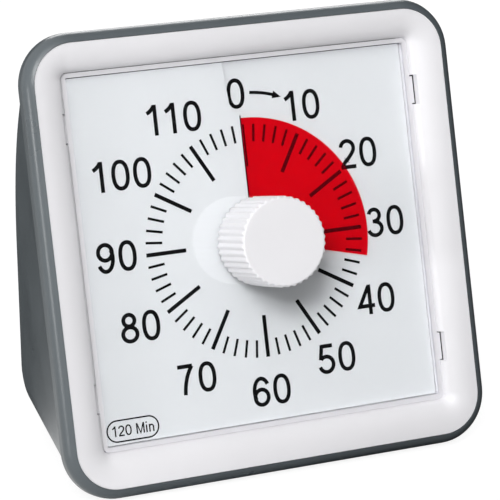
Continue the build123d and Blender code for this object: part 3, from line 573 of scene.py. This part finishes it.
def tick_tree():
    """Geometry Nodes: one flat bar for each mark of the scale, longer and wider at every fifth."""
    tree, given = new_tree("scale_marks", {
        "Marks": "Int", "Outer Radius": "Float", "Short Length": "Float", "Long Length": "Float",
        "Thin Width": "Float", "Thick Width": "Float", "Ink": "Float", "Rise": "Float",
        "Start Level": "Float", "Material": "Material"})
    index = add_node(tree, "GeometryNodeInputIndex")
    number = add_node(tree, MATH, {0: index, 1: 1}, operation="ADD")
    past_long = add_node(tree, MATH, {0: number, 1: LONG_EVERY}, operation="MODULO")
    is_long = add_node(tree, MATH, {0: past_long, 1: 0.5}, operation="LESS_THAN")
    length = add_node(tree, "ShaderNodeMix", {
        "Factor": is_long, "A": given["Short Length"], "B": given["Long Length"]})
    width = add_node(tree, "ShaderNodeMix", {
        "Factor": is_long, "A": given["Thin Width"], "B": given["Thick Width"]})

    share = add_node(tree, MATH, {0: number, 1: given["Marks"]}, operation="DIVIDE")
    turn = add_node(tree, MATH, {0: share, 1: 2 * pi}, operation="MULTIPLY")
    sine = add_node(tree, MATH, {0: turn}, operation="SINE")
    cosine = add_node(tree, MATH, {0: turn}, operation="COSINE")
    half = add_node(tree, MATH, {0: length, 1: 2}, operation="DIVIDE")
    radius = add_node(tree, MATH, {0: given["Outer Radius"], 1: half}, operation="SUBTRACT")
    right = add_node(tree, MATH, {0: radius, 1: sine}, operation="MULTIPLY")
    up = add_node(tree, MATH, {0: radius, 1: cosine}, operation="MULTIPLY")
    climb = add_node(tree, MATH, {0: given["Rise"], 1: share}, operation="MULTIPLY")
    level = add_node(tree, MATH, {0: given["Start Level"], 1: climb}, operation="ADD")
    place = add_node(tree, "ShaderNodeCombineXYZ", {"X": right, "Y": up, "Z": level})

    clockwise = add_node(tree, MATH, {0: turn, 1: -1}, operation="MULTIPLY")
    spin = add_node(tree, "ShaderNodeCombineXYZ", {"Z": clockwise})
    size = add_node(tree, "ShaderNodeCombineXYZ", {"X": width, "Y": length, "Z": given["Ink"]})
    count = add_node(tree, MATH, {0: given["Marks"], 1: 1}, operation="SUBTRACT")
    points = add_node(tree, "GeometryNodePoints", {"Count": count, "Position": place})
    bar = add_node(tree, "GeometryNodeMeshCube")
    bars = add_node(tree, "GeometryNodeInstanceOnPoints", {
        "Points": points, "Instance": bar, "Rotation": spin, "Scale": size})
    end_tree(tree, bars, given["Material"])
    return tree


def rib_tree():
    """Geometry Nodes: presses grooves into a turned body, by the weight that each point carries."""
    tree, given = new_tree("knob_ribs", {
        "Geometry": "Geometry", "Ribs": "Int", "Depth": "Float", "Material": "Material"})
    place = add_node(tree, "GeometryNodeInputPosition")
    parts = add_node(tree, "ShaderNodeSeparateXYZ", {"Vector": place}).outputs
    turn = add_node(tree, MATH, {0: parts["Y"], 1: parts["X"]}, operation="ARCTAN2")
    phase = add_node(tree, MATH, {0: turn, 1: given["Ribs"]}, operation="MULTIPLY")
    wave = add_node(tree, MATH, {0: phase}, operation="COSINE")
    below = add_node(tree, MATH, {0: 1, 1: wave}, operation="SUBTRACT")
    share = add_node(tree, MATH, {0: below, 1: 0.5}, operation="MULTIPLY")
    groove = add_node(tree, MATH, {0: share, 1: GROOVE_POWER}, operation="POWER")
    weight = add_node(tree, "GeometryNodeInputNamedAttribute", {"Name": "rib"}, data_type="FLOAT")
    pressed = add_node(tree, MATH, {0: groove, 1: weight}, operation="MULTIPLY")
    inward = add_node(tree, MATH, {0: given["Depth"], 1: -1}, operation="MULTIPLY")
    reach = add_node(tree, MATH, {0: pressed, 1: inward}, operation="MULTIPLY")
    flat = add_node(tree, "ShaderNodeCombineXYZ", {"X": parts["X"], "Y": parts["Y"]})
    outward = add_node(tree, "ShaderNodeVectorMath", {0: flat}, operation="NORMALIZE")
    push = add_node(tree, "ShaderNodeVectorMath", {0: outward, "Scale": reach}, operation="SCALE")
    moved = add_node(tree, "GeometryNodeSetPosition", {"Geometry": given["Geometry"], "Offset": push})
    end_tree(tree, moved, given["Material"])
    return tree


def run_tree(obj, tree, values):
    """Runs a Geometry Nodes tree on a piece and keeps the result as its mesh."""
    modifier = obj.modifiers.new(tree.name, "NODES")
    modifier.node_group = tree
    for item in tree.interface.items_tree:
        if item.in_out == "INPUT" and item.name in values:
            modifier[item.identifier] = values[item.name]
    settle(obj)


def turned(profile, segments):
    """Points and faces of a body turned round z from (radius, level) pairs; radius 0 closes it."""
    points, rings, faces = [], [], []
    for radius, level in profile:
        if radius == 0:
            rings.append([len(points)])
            points.append((0, 0, level))
            continue
        rings.append(list(range(len(points), len(points) + segments)))
        points += [(radius * cos(2 * pi * i / segments), radius * sin(2 * pi * i / segments), level)
                   for i in range(segments)]
    for a, b in zip(rings, rings[1:]):
        for i in range(segments):
            j = (i + 1) % segments
            if len(a) == 1:
                faces.append((a[0], b[i], b[j]))
            elif len(b) == 1:
                faces.append((a[i], b[0], a[j]))
            else:
                faces.append((a[i], b[i], b[j], a[j]))
    return points, faces


def knob_mesh(ribs, edge, depth):
    """Closed turned knob with a boss inside, whose points carry how far the grooves press them in."""
    inner = KNOB_RADIUS - depth - KNOB_WALL
    profile = [(inner, KNOB_START), (KNOB_RADIUS - KNOB_BEVEL, KNOB_START),
               (KNOB_RADIUS, KNOB_START + KNOB_BEVEL)]
    profile += [(KNOB_RADIUS, KNOB_START + (KNOB_END - KNOB_START - edge) * i / 4) for i in (1, 2, 3)]
    profile += arc(KNOB_RADIUS - edge, KNOB_END - edge, edge, edge, 0, 90, 5)
    profile += [(KNOB_RADIUS - edge - KNOB_FLAT, KNOB_END), (0, KNOB_END)]
    under = KNOB_END - KNOB_TOP
    hollow = [(0, BORE_END), (BORE_RADIUS, BORE_END), (BORE_RADIUS, BOSS_START), (BOSS_RADIUS, BOSS_START),
              (BOSS_RADIUS, under), (inner, under), (inner, KNOB_START)]
    outside = turned(profile, ribs * RIB_POINTS)
    points, faces = joined(outside, turned(hollow, ribs * RIB_POINTS))
    mesh = bpy.data.meshes.new("knob")
    mesh.from_pydata(points, [], faces)
    weight = mesh.attributes.new("rib", "FLOAT", "POINT")
    for i, (x, y, z) in enumerate(outside[0]):
        radius = (x * x + y * y) ** 0.5
        if radius > KNOB_RADIUS - edge - KNOB_FLAT / 2:
            weight.data[i].value = max(0.0, 1 - (KNOB_RADIUS - radius) / depth)
    with editing(mesh) as bm:
        bmesh.ops.remove_doubles(bm, verts=bm.verts, dist=MERGE)
        bmesh.ops.recalc_face_normals(bm, faces=bm.faces)
    return mesh


# ---- faces by their place
def paint_slot_shade(mesh):
    """Gives the walls behind the window's clips the second material, up to the clips' front: a dark colour
    that paints the shade in the slots.
    """
    with editing(mesh) as bm:
        walls = []
        for face in bm.faces:
            across = (TO_FACE @ face.calc_center_median()).x
            if abs(abs(across) - CLIP_SLOT_END) < ON_WALL and face.normal.dot(face_right) * across < 0:
                walls.append(face)
        edges = {edge for face in walls for edge in face.edges}
        corners = {corner for face in walls for corner in face.verts}
        cut = bmesh.ops.bisect_plane(
            bm, geom=[*corners, *edges, *walls], dist=MERGE * MM,
            plane_co=FACE @ Vector((0, 0, CLIP_TOP)), plane_no=face_normal)
        for face in (item for item in cut["geom"] if isinstance(item, bmesh.types.BMFace)):
            if (TO_FACE @ face.calc_center_median()).z < CLIP_TOP:
                face.material_index = 1


def etch_walls(mesh):
    """Gives the window's walls and their border the second material."""
    with editing(mesh) as bm:
        for way, unit in ((face_right, Vector((1, 0, 0))), (face_up, Vector((0, 1, 0)))):
            for side in (-1, 1):
                bmesh.ops.bisect_plane(
                    bm, geom=bm.verts[:] + bm.edges[:] + bm.faces[:], dist=MERGE * MM,
                    plane_co=FACE @ (unit * side * WINDOW_INNER), plane_no=way)
        for face in bm.faces:
            middle = TO_FACE @ face.calc_center_median()
            if max(abs(middle.x), abs(middle.y)) > WINDOW_INNER - ON_WALL:
                face.material_index = 1


# ---- properties
class TimerSizes(bpy.types.PropertyGroup):
    """Sizes that can be changed before the pieces are built."""
    knob_ribs: bpy.props.IntProperty(
        name="Knob Ribs", description="Number of grip ribs round the knob", default=40, min=8, max=80)
    rib_depth: bpy.props.FloatProperty(
        name="Rib Depth", description="Depth of the grooves between the ribs", default=0.55 * MM,
        unit="LENGTH", precision=5)
    knob_edge: bpy.props.FloatProperty(
        name="Knob Edge", description="Rounding round the knob's end face", default=0.9 * MM,
        unit="LENGTH", precision=5)
    marks: bpy.props.IntProperty(
        name="Scale Marks", description="Marks round the scale, one for every two minutes", default=60)
    scale_radius: bpy.props.FloatProperty(
        name="Scale Radius", description="Outer radius of the scale's marks", default=30.8 * MM,
        unit="LENGTH")
    short_mark: bpy.props.FloatProperty(
        name="Short Mark", description="Length of the two-minute marks", default=4.6 * MM, unit="LENGTH")
    long_mark: bpy.props.FloatProperty(
        name="Long Mark", description="Length of the ten-minute marks", default=11.1 * MM, unit="LENGTH")
    thin_mark: bpy.props.FloatProperty(
        name="Thin Mark", description="Width of the two-minute marks", default=0.68 * MM, unit="LENGTH",
        precision=5)
    thick_mark: bpy.props.FloatProperty(
        name="Thick Mark", description="Width of the ten-minute marks", default=1.06 * MM, unit="LENGTH",
        precision=5)
    ink: bpy.props.FloatProperty(
        name="Ink", description="Thickness of the printed marks", default=0.04 * MM, unit="LENGTH",
        precision=5)
    figure_height: bpy.props.FloatProperty(
        name="Figure Height", description="Height of the dial's numbers", default=8.0 * MM, unit="LENGTH")


class TimerColours(bpy.types.PropertyGroup):
    """Colours of the visible pieces, as linear values."""
    case: bpy.props.FloatVectorProperty(
        name="Case", description="Textured grey housing", size=4, subtype="COLOR",
        default=hex_colour("#5a6165"))
    bezel: bpy.props.FloatVectorProperty(
        name="Bezel", description="Polished white frame", size=4, subtype="COLOR",
        default=hex_colour("#f1f0f3"))
    dial: bpy.props.FloatVectorProperty(
        name="Dial", description="Printed card", size=4, subtype="COLOR",
        default=hex_colour("#e6e7e8"))
    film: bpy.props.FloatVectorProperty(
        name="Film", description="Red disc", size=4, subtype="COLOR",
        default=hex_colour("#f31c4a"))
    knob: bpy.props.FloatVectorProperty(
        name="Knob", description="Satin white knob", size=4, subtype="COLOR",
        default=hex_colour("#f5f4f7"))
    print_ink: bpy.props.FloatVectorProperty(
        name="Ink", description="Marks and numbers", size=4, subtype="COLOR",
        default=hex_colour("#060607"))


# ---- operators
class TIMER_OT_case(bpy.types.Operator):
    """Builds the grey housing with its textured finish"""
    bl_idname = "timer.make_case"
    bl_label = "Case"

    def execute(self, context):
        # Spark-eroded ABS: the fine grain breaks up reflections into a soft, matt grey.
        grey = moulded_plastic(
            "spark_eroded_grey_abs", context.scene.timer_colours.case, 0.31, grain=0.35, depth=0.03)
        smooth_copy("rear_case", "housing", grey)
        return {"FINISHED"}


class TIMER_OT_bezel(bpy.types.Operator):
    """Builds the white frame round the window"""
    bl_idname = "timer.make_bezel"
    bl_label = "Bezel"

    def execute(self, context):
        # Polished ABS: bright, with soft reflections; the slow ripple is shrinkage in the mould.
        white = moulded_plastic(
            "polished_white_abs", context.scene.timer_colours.bezel, 0.34, grain=6.0, depth=0.008, tone=0.01)
        bezel = smooth_copy("front_bezel", "bezel_frame", white)
        # Little light gets into the slots behind the window's clips, so their white walls are painted dark
        # as shade: each shows as a dark line.
        bezel.data.materials.append(
            moulded_plastic("painted_shade_slot_wall", hex_colour("#1b1b1c"), 0.7, grain=6.0, depth=0.008))
        paint_slot_shade(bezel.data)
        return {"FINISHED"}


class TIMER_OT_window(bpy.types.Operator):
    """Builds the clear tray, with a polished pane and satin walls"""
    bl_idname = "timer.make_window"
    bl_label = "Window"

    def execute(self, context):
        # Polished clear acrylic: almost invisible face on, with thin bright lines at its edges.
        polished = clear_acrylic("polished_clear_acrylic", hex_colour("#fbfcfd"), 1.0, 0.02)
        # Etched acrylic: the walls and their border are milky, which hides what stands behind them.
        etched = clear_acrylic("etched_acrylic", hex_colour("#f4f3f6"), 0.25, 0.35)
        window = smooth_copy("front_window", "clear_window", polished, bevel=0.12)
        window.data.materials.append(etched)
        etch_walls(window.data)
        return {"FINISHED"}


class TIMER_OT_dial(bpy.types.Operator):
    """Finishes the printed dial sheet and the red film"""
    bl_idname = "timer.make_dial"
    bl_label = "Dial and Film"

    def execute(self, context):
        colours = context.scene.timer_colours
        dress(printed_card(colours.dial), "dial_face")
        smooth_copy("red_disc", "film_disc", red_film(colours.film))
        return {"FINISHED"}


class TIMER_OT_print(bpy.types.Operator):
    """Prints the scale, the numbers, the arrow and the range label"""
    bl_idname = "timer.make_print"
    bl_label = "Printing"

    def execute(self, context):
        sizes = context.scene.timer_sizes
        black = printing_ink(context.scene.timer_colours.print_ink)
        ink = sizes.ink / MM
        outer = sizes.scale_radius / MM
        long_mark = sizes.long_mark / MM
        thick_mark = sizes.thick_mark / MM

        marks = new_object("scale_marks", bpy.data.meshes.new("scale_marks"), black)
        run_tree(marks, tick_tree(), {
            "Marks": sizes.marks, "Outer Radius": outer, "Short Length": sizes.short_mark / MM,
            "Long Length": long_mark, "Thin Width": sizes.thin_mark / MM, "Thick Width": thick_mark,
            "Ink": ink, "Rise": DIAL_RISE, "Start Level": -DIAL_RISE / 2 + DIAL_SHEET / 2,
            "Material": black})
        marks.data.transform(FACE)
        print_on_dial(marks)

        # Half a mark at 0, along the lower edge of the slit, which the film covers
        left, right, inner = ZERO_MARK_LEFT, thick_mark / 2, outer - long_mark
        zero = [(left, inner), (right, inner), (right, outer), (left, outer)]
        height = sizes.figure_height / MM
        numbers = []
        for text, place in NUMBER_PLACES.items():
            numbers += text_lines(text, height, place)
        words = text_lines("120 Min", LABEL_TEXT, LABEL_PLACE, LABEL_STEP)
        for name, solid in (
                ("zero_mark", ink_fill(zero, ink)),
                ("dial_numbers", ink_solid(numbers, PEN * height, ink)),
                ("start_arrow", arrow_solid(ink)),
                ("label_outline", ink_solid([label_ring()], LABEL_PEN, ink)),
                ("label_text", ink_solid(words, LABEL_TEXT_PEN, ink))):
            print_on_dial(new_object(name, new_mesh(name, *solid), black))
        return {"FINISHED"}


class TIMER_OT_knob(bpy.types.Operator):
    """Builds the ribbed knob"""
    bl_idname = "timer.make_knob"
    bl_label = "Knob"

    def execute(self, context):
        sizes = context.scene.timer_sizes
        # Satin ABS: soft white with a broad highlight on each rib.
        white = moulded_plastic(
            "satin_white_abs", context.scene.timer_colours.knob, 0.38, grain=0.3, depth=0.006, tone=0.01)
        depth = sizes.rib_depth / MM
        knob = new_object("grip_knob", knob_mesh(sizes.knob_ribs, sizes.knob_edge / MM, depth), white)
        run_tree(knob, rib_tree(), {"Ribs": sizes.knob_ribs, "Depth": depth, "Material": white})
        knob.data.transform(FACE)
        soften(knob.data, 40)
        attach(knob, "knob")
        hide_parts("setting_knob")
        return {"FINISHED"}


class TIMER_OT_back(bpy.types.Operator):
    """Finishes the door, the slider, the feet, the screws and the battery"""
    bl_idname = "timer.make_back"
    bl_label = "Back and Base"

    def execute(self, context):
        # Spark-eroded ABS, as the housing, and a little duller.
        grey = moulded_plastic(
            "door_grey_abs", context.scene.timer_colours.case, 0.46, grain=0.35, depth=0.03)
        smooth_copy("battery_door", "door_panel", grey)
        # Acetal slider: darker and a little waxy.
        dress(moulded_plastic("black_acetal", hex_colour("#26282b"), 0.4, grain=0.4, depth=0.01),
              "alarm_slider")
        # Cast thermoplastic rubber: dull, with a fine skin.
        dress(moulded_plastic("dark_rubber", hex_colour("#2c2c2d"), 0.8, grain=0.5, depth=0.03),
              "rubber_feet")
        # Zinc-plated steel: pale grey with soft streaks.
        dress(plain_metal("zinc_plated_steel", hex_colour("#aeb0b3"), 0.35, 0.2),
              "case_screws", "plate_screws", "movement_screws", "board_screws")
        # Shrunk film sleeve, printed in one plain colour: smooth, with a soft gloss.
        dress(moulded_plastic("printed_battery_sleeve", hex_colour("#4a4d55"), 0.3, grain=4.0, depth=0.005),
              "battery")
        # Nickel-plated strip: a bright, slightly warm metal.
        dress(plain_metal("nickel_plated_strip", hex_colour("#cfcabb"), 0.25, 0.3),
              "contact_positive", "contact_negative")
        return {"FINISHED"}


class TIMER_OT_inside(bpy.types.Operator):
    """Finishes the pieces inside the case"""
    bl_idname = "timer.make_inside"
    bl_label = "Inside"

    def execute(self, context):
        # ABS from a plain mould: white and dull.
        dress(moulded_plastic("white_abs", hex_colour("#eeeeef"), 0.5, grain=0.8, depth=0.01),
              "movement_base", "movement_cover", "coil_bobbin", "disc_hub")
        # Dark ABS, painted dark for the shade in the gaps round the dial, so that nothing pale shows through
        # them.
        dress(moulded_plastic("gap_shade_grey_abs", hex_colour("#2b2c2e"), 0.6, grain=0.8, depth=0.01),
              "dial_backplate")
        # Natural acetal: creamy, smooth and a little waxy.
        dress(moulded_plastic("natural_acetal", hex_colour("#ebe7da"), 0.35, grain=0.8, depth=0.005),
              "drive_wheel", "second_wheel", "third_wheel", "rotor")
        # Turned and ground metals: bright, with close working marks.
        dress(plain_metal("turned_brass", hex_colour("#d0a95a"), 0.28, 0.1), "spindle_bush")
        dress(plain_metal("ground_steel", hex_colour("#c4c5c7"), 0.22, 0.1),
              "spindle", "clutch_washer", "retaining_clip")
        # Stamped iron sheet: grey, with wider marks from rolling.
        dress(plain_metal("stamped_motor_iron", hex_colour("#a2a3a4"), 0.4, 0.3),
              "stator_plate", "coil_core")
        # Sintered ferrite: nearly black, with a dull grain.
        dress(moulded_plastic("sintered_magnet", hex_colour("#303133"), 0.6, grain=0.3, depth=0.01),
              "rotor_magnet")
        # Enamelled copper: a warm, glossy metal; its marks stand for the turns of the wire.
        dress(plain_metal("enamelled_copper_wire", hex_colour("#c4693b"), 0.3, 0.15), "coil_winding")
        # Solder mask on glass-fibre board: deep green, glossy over the weave.
        dress(moulded_plastic("green_solder_mask", hex_colour("#1d5a34"), 0.35, grain=2.0, depth=0.005),
              "circuit_board")
        # Moulded epoxy: black, with a fine grain.
        dress(moulded_plastic("black_epoxy", hex_colour("#232325"), 0.5, grain=0.3, depth=0.01),
              "timer_chip", "buzzer", "alarm_switch", "capacitor")
        # Drawn tin can: bright and smooth.
        dress(plain_metal("drawn_tin", hex_colour("#d3d4d6"), 0.25, 0.5), "quartz_crystal")
        # Extruded PVC insulation: plain red with a soft gloss.
        dress(moulded_plastic("red_pvc_sleeve", hex_colour("#a3242a"), 0.45, grain=1.0, depth=0.005),
              "motor_lead")
        return {"FINISHED"}


# ---- studio
# Reflections see a room that is bright on the left and above and dim elsewhere, so
# that the clear pane reflects little. Matt surfaces get soft light, most of it from
# the front left. The camera itself sees a plain pale floor and a white background.
# Each room is (its bright side, the cosines at which it is dimmest and brightest,
# its dimmest level); its brightest level is 1.
MIRRORED_ROOM = (Vector((-0.85, -0.15, 0.55)).normalized(), -0.05, 0.6, 0.01)
SOFT_ROOM = (Vector((-0.60, -0.65, 0.42)).normalized(), -0.4, 0.6, 0.05)
SOFT_LEVEL = 0.45           # of the soft light that comes from the world

FLOOR_REACH = 4.0           # half the floor's side, in metres
FLOOR_PALE = 0.8            # the floor's colour in the soft light that it throws back
FLOOR_GLOW = 0.9            # what the camera sees of the floor by itself
FLOOR_SHADE = 0.2           # and by the light on it, which draws the object's shadow
FLOOR_MIDDLE = Vector((-0.045, 0, 0))    # directions on the floor are measured from here, in metres

# Lamps: place and width of the square lamp, in metres, and power in watts
LAMPS = {
    "key_lamp": ((-0.72, -1.08, 0.98), 0.5, 10.7),
    "top_lamp": ((-0.5, -1.0, 1.5), 0.9, 5.8),
    "edge_lamp": ((-1.35, -0.35, 0.12), 0.12, 2.1),
    "back_lamp": ((0.45, 1.3, 0.8), 0.8, 9.0)}
LAMP_AIM = Vector((0, 0, 0.06))

# Camera: a long lens, from the left and a little above; its places are in metres
CAMERA_LENS = 188.32        # mm
CAMERA_PLACE = (-0.25840, -0.61602, 0.27262)
CAMERA_AIM = (-0.00142, -0.01490, 0.05631)
CAMERA_ROLL = -0.15         # degrees
CAMERA_NEAR = 0.01          # nearest distance that it draws


def room_level(tree, way, room):
    """Brightness of a room in a direction."""
    bright_side, dim_at, bright_at, dimmest = room
    facing = add_node(tree, "ShaderNodeVectorMath", {0: way, 1: bright_side}, operation="DOT_PRODUCT")
    level = add_node(
        tree, "ShaderNodeMapRange",
        {"Value": facing.outputs["Value"], "From Min": dim_at, "From Max": bright_at,
         "To Min": dimmest, "To Max": 1.0},
        interpolation_type="SMOOTHSTEP")
    return level.outputs["Result"]


def seen_directly(tree, path):
    """1 where a surface is seen by the camera, in a reflection or through glass, and 0 elsewhere.

    The light that a matt surface gathers through the pane counts as soft light, so it isn't seen.
    """
    mirrored = add_node(
        tree, MATH, {0: path.outputs["Is Camera Ray"], 1: path.outputs["Is Glossy Ray"]},
        operation="MAXIMUM")
    seen = add_node(tree, MATH, {0: mirrored, 1: path.outputs["Is Transmission Ray"]}, operation="MAXIMUM")
    no_matt = add_node(tree, MATH, {0: path.outputs["Diffuse Depth"], 1: 0.5}, operation="LESS_THAN")
    return add_node(tree, MATH, {0: seen, 1: no_matt}, operation="MULTIPLY")


def matt_white_floor():
    """Matt white paper: pale to the camera, and as bright as the room to what mirrors it."""
    material = bpy.data.materials.new("matt_white_floor")
    material.use_nodes = True
    tree = material.node_tree
    tree.nodes.clear()
    path = add_node(tree, "ShaderNodeLightPath")
    camera = path.outputs["Is Camera Ray"]
    # Measured from a point on the left, so that the floor in front of the object stays dim
    place = add_node(tree, "ShaderNodeTexCoord").outputs["Object"]
    offset = add_node(tree, "ShaderNodeVectorMath", {0: place, 1: FLOOR_MIDDLE}, operation="SUBTRACT")
    way = add_node(tree, "ShaderNodeVectorMath", {0: offset}, operation="NORMALIZE").outputs["Vector"]
    soft = room_level(tree, way, SOFT_ROOM)
    pale = add_node(tree, MATH, {0: soft, 1: FLOOR_PALE}, operation="MULTIPLY")
    lit = add_node(tree, "ShaderNodeBsdfDiffuse", {"Color": pale})
    shade = add_node(tree, MATH, {0: camera, 1: FLOOR_SHADE}, operation="MULTIPLY")
    part_lit = add_node(tree, "ShaderNodeBsdfDiffuse", {"Color": shade})
    mirrored = room_level(tree, way, MIRRORED_ROOM)
    level = add_node(tree, MATH, {0: mirrored, 1: camera}, operation="MAXIMUM")
    level = add_node(tree, MATH, {0: level, 1: FLOOR_GLOW}, operation="MULTIPLY")
    glow = add_node(tree, "ShaderNodeEmission", {"Color": (1, 1, 1, 1), "Strength": level})
    shown = add_node(tree, "ShaderNodeAddShader", {0: part_lit, 1: glow})
    mix = add_node(tree, "ShaderNodeMixShader", {"Fac": seen_directly(tree, path), 1: lit, 2: shown})
    add_node(tree, "ShaderNodeOutputMaterial", {"Surface": mix})
    return material


def make_floor():
    """Floor under the object, which isn't part of it."""
    far = FLOOR_REACH
    mesh = bpy.data.meshes.new("floor")
    mesh.from_pydata([(-far, -far, 0), (far, -far, 0), (far, far, 0), (-far, far, 0)], [], [(0, 1, 2, 3)])
    new_object("floor", mesh, matt_white_floor())


def make_world(scene):
    """The room round the object: white to the camera, and two rooms for mirrors and matt surfaces."""
    world = bpy.data.worlds.new("studio")
    scene.world = world
    world.use_nodes = True
    tree = world.node_tree
    tree.nodes.clear()
    path = add_node(tree, "ShaderNodeLightPath")
    camera = path.outputs["Is Camera Ray"]
    way = add_node(tree, "ShaderNodeTexCoord").outputs["Generated"]
    soft = room_level(tree, way, SOFT_ROOM)
    soft = add_node(tree, MATH, {0: soft, 1: SOFT_LEVEL}, operation="MULTIPLY")
    mirrored = room_level(tree, way, MIRRORED_ROOM)
    level = add_node(tree, "ShaderNodeMix", {
        "Factor": seen_directly(tree, path), "A": soft, "B": mirrored})
    level = add_node(tree, MATH, {0: level, 1: camera}, operation="MAXIMUM")
    sky = add_node(tree, "ShaderNodeBackground", {"Color": (1, 1, 1, 1), "Strength": level})
    add_node(tree, "ShaderNodeOutputWorld", {"Surface": sky})


def make_lamps(scene):
    """Square lamps, all turned to the middle of the object."""
    for name, (place, width, power) in LAMPS.items():
        data = bpy.data.lights.new(name, "AREA")
        data.size = width
        data.energy = power
        lamp = bpy.data.objects.new(name, data)
        scene.collection.objects.link(lamp)
        lamp.location = place
        # The pane already lets the lamps' light through to the dial as to open air
        lamp.visible_transmission = False
        lamp.rotation_euler = (LAMP_AIM - Vector(place)).to_track_quat("-Z", "Y").to_euler()


def make_camera(scene):
    """The scene's camera."""
    data = bpy.data.cameras.new("camera")
    data.lens = CAMERA_LENS
    data.clip_start = CAMERA_NEAR
    camera = bpy.data.objects.new("camera", data)
    scene.collection.objects.link(camera)
    camera.location = CAMERA_PLACE
    aim = Vector(CAMERA_AIM) - camera.location
    level = aim.to_track_quat("-Z", "Y").to_matrix()
    camera.rotation_euler = (level @ Matrix.Rotation(radians(CAMERA_ROLL), 3, "Z")).to_euler()
    scene.camera = camera


class TIMER_OT_stage(bpy.types.Operator):
    """Sets the floor, the lamps and the camera"""
    bl_idname = "timer.make_stage"
    bl_label = "Stage"

    def execute(self, context):
        scene = context.scene
        scene.view_settings.view_transform = "Standard"
        make_floor()
        make_world(scene)
        make_lamps(scene)
        make_camera(scene)
        return {"FINISHED"}


STEPS = (TIMER_OT_case, TIMER_OT_bezel, TIMER_OT_window, TIMER_OT_dial, TIMER_OT_print, TIMER_OT_knob,
         TIMER_OT_back, TIMER_OT_inside, TIMER_OT_stage)


class VIEW3D_PT_timer(bpy.types.Panel):
    """Sizes, colours and steps of the timer"""
    bl_label = "Countdown Timer"
    bl_space_type = "VIEW_3D"
    bl_region_type = "UI"
    bl_category = "Timer"

    def draw(self, context):
        for group in (context.scene.timer_sizes, context.scene.timer_colours):
            column = self.layout.column()
            for name in group.__annotations__:
                column.prop(group, name)
        for step in STEPS:
            self.layout.operator(step.bl_idname)


CLASSES = (TimerSizes, TimerColours, *STEPS, VIEW3D_PT_timer)


def register():
    for cls in CLASSES:
        bpy.utils.register_class(cls)
    bpy.types.Scene.timer_sizes = bpy.props.PointerProperty(type=TimerSizes)
    bpy.types.Scene.timer_colours = bpy.props.PointerProperty(type=TimerColours)


def unregister():
    del bpy.types.Scene.timer_colours
    del bpy.types.Scene.timer_sizes
    for cls in reversed(CLASSES):
        bpy.utils.unregister_class(cls)


def main():
    register()
    bpy.ops.timer.make_case()
    bpy.ops.timer.make_bezel()
    bpy.ops.timer.make_window()
    bpy.ops.timer.make_dial()
    bpy.ops.timer.make_print()
    bpy.ops.timer.make_knob()
    bpy.ops.timer.make_back()
    bpy.ops.timer.make_inside()
    bpy.ops.timer.make_stage()


if __name__ == "__main__":
    main()
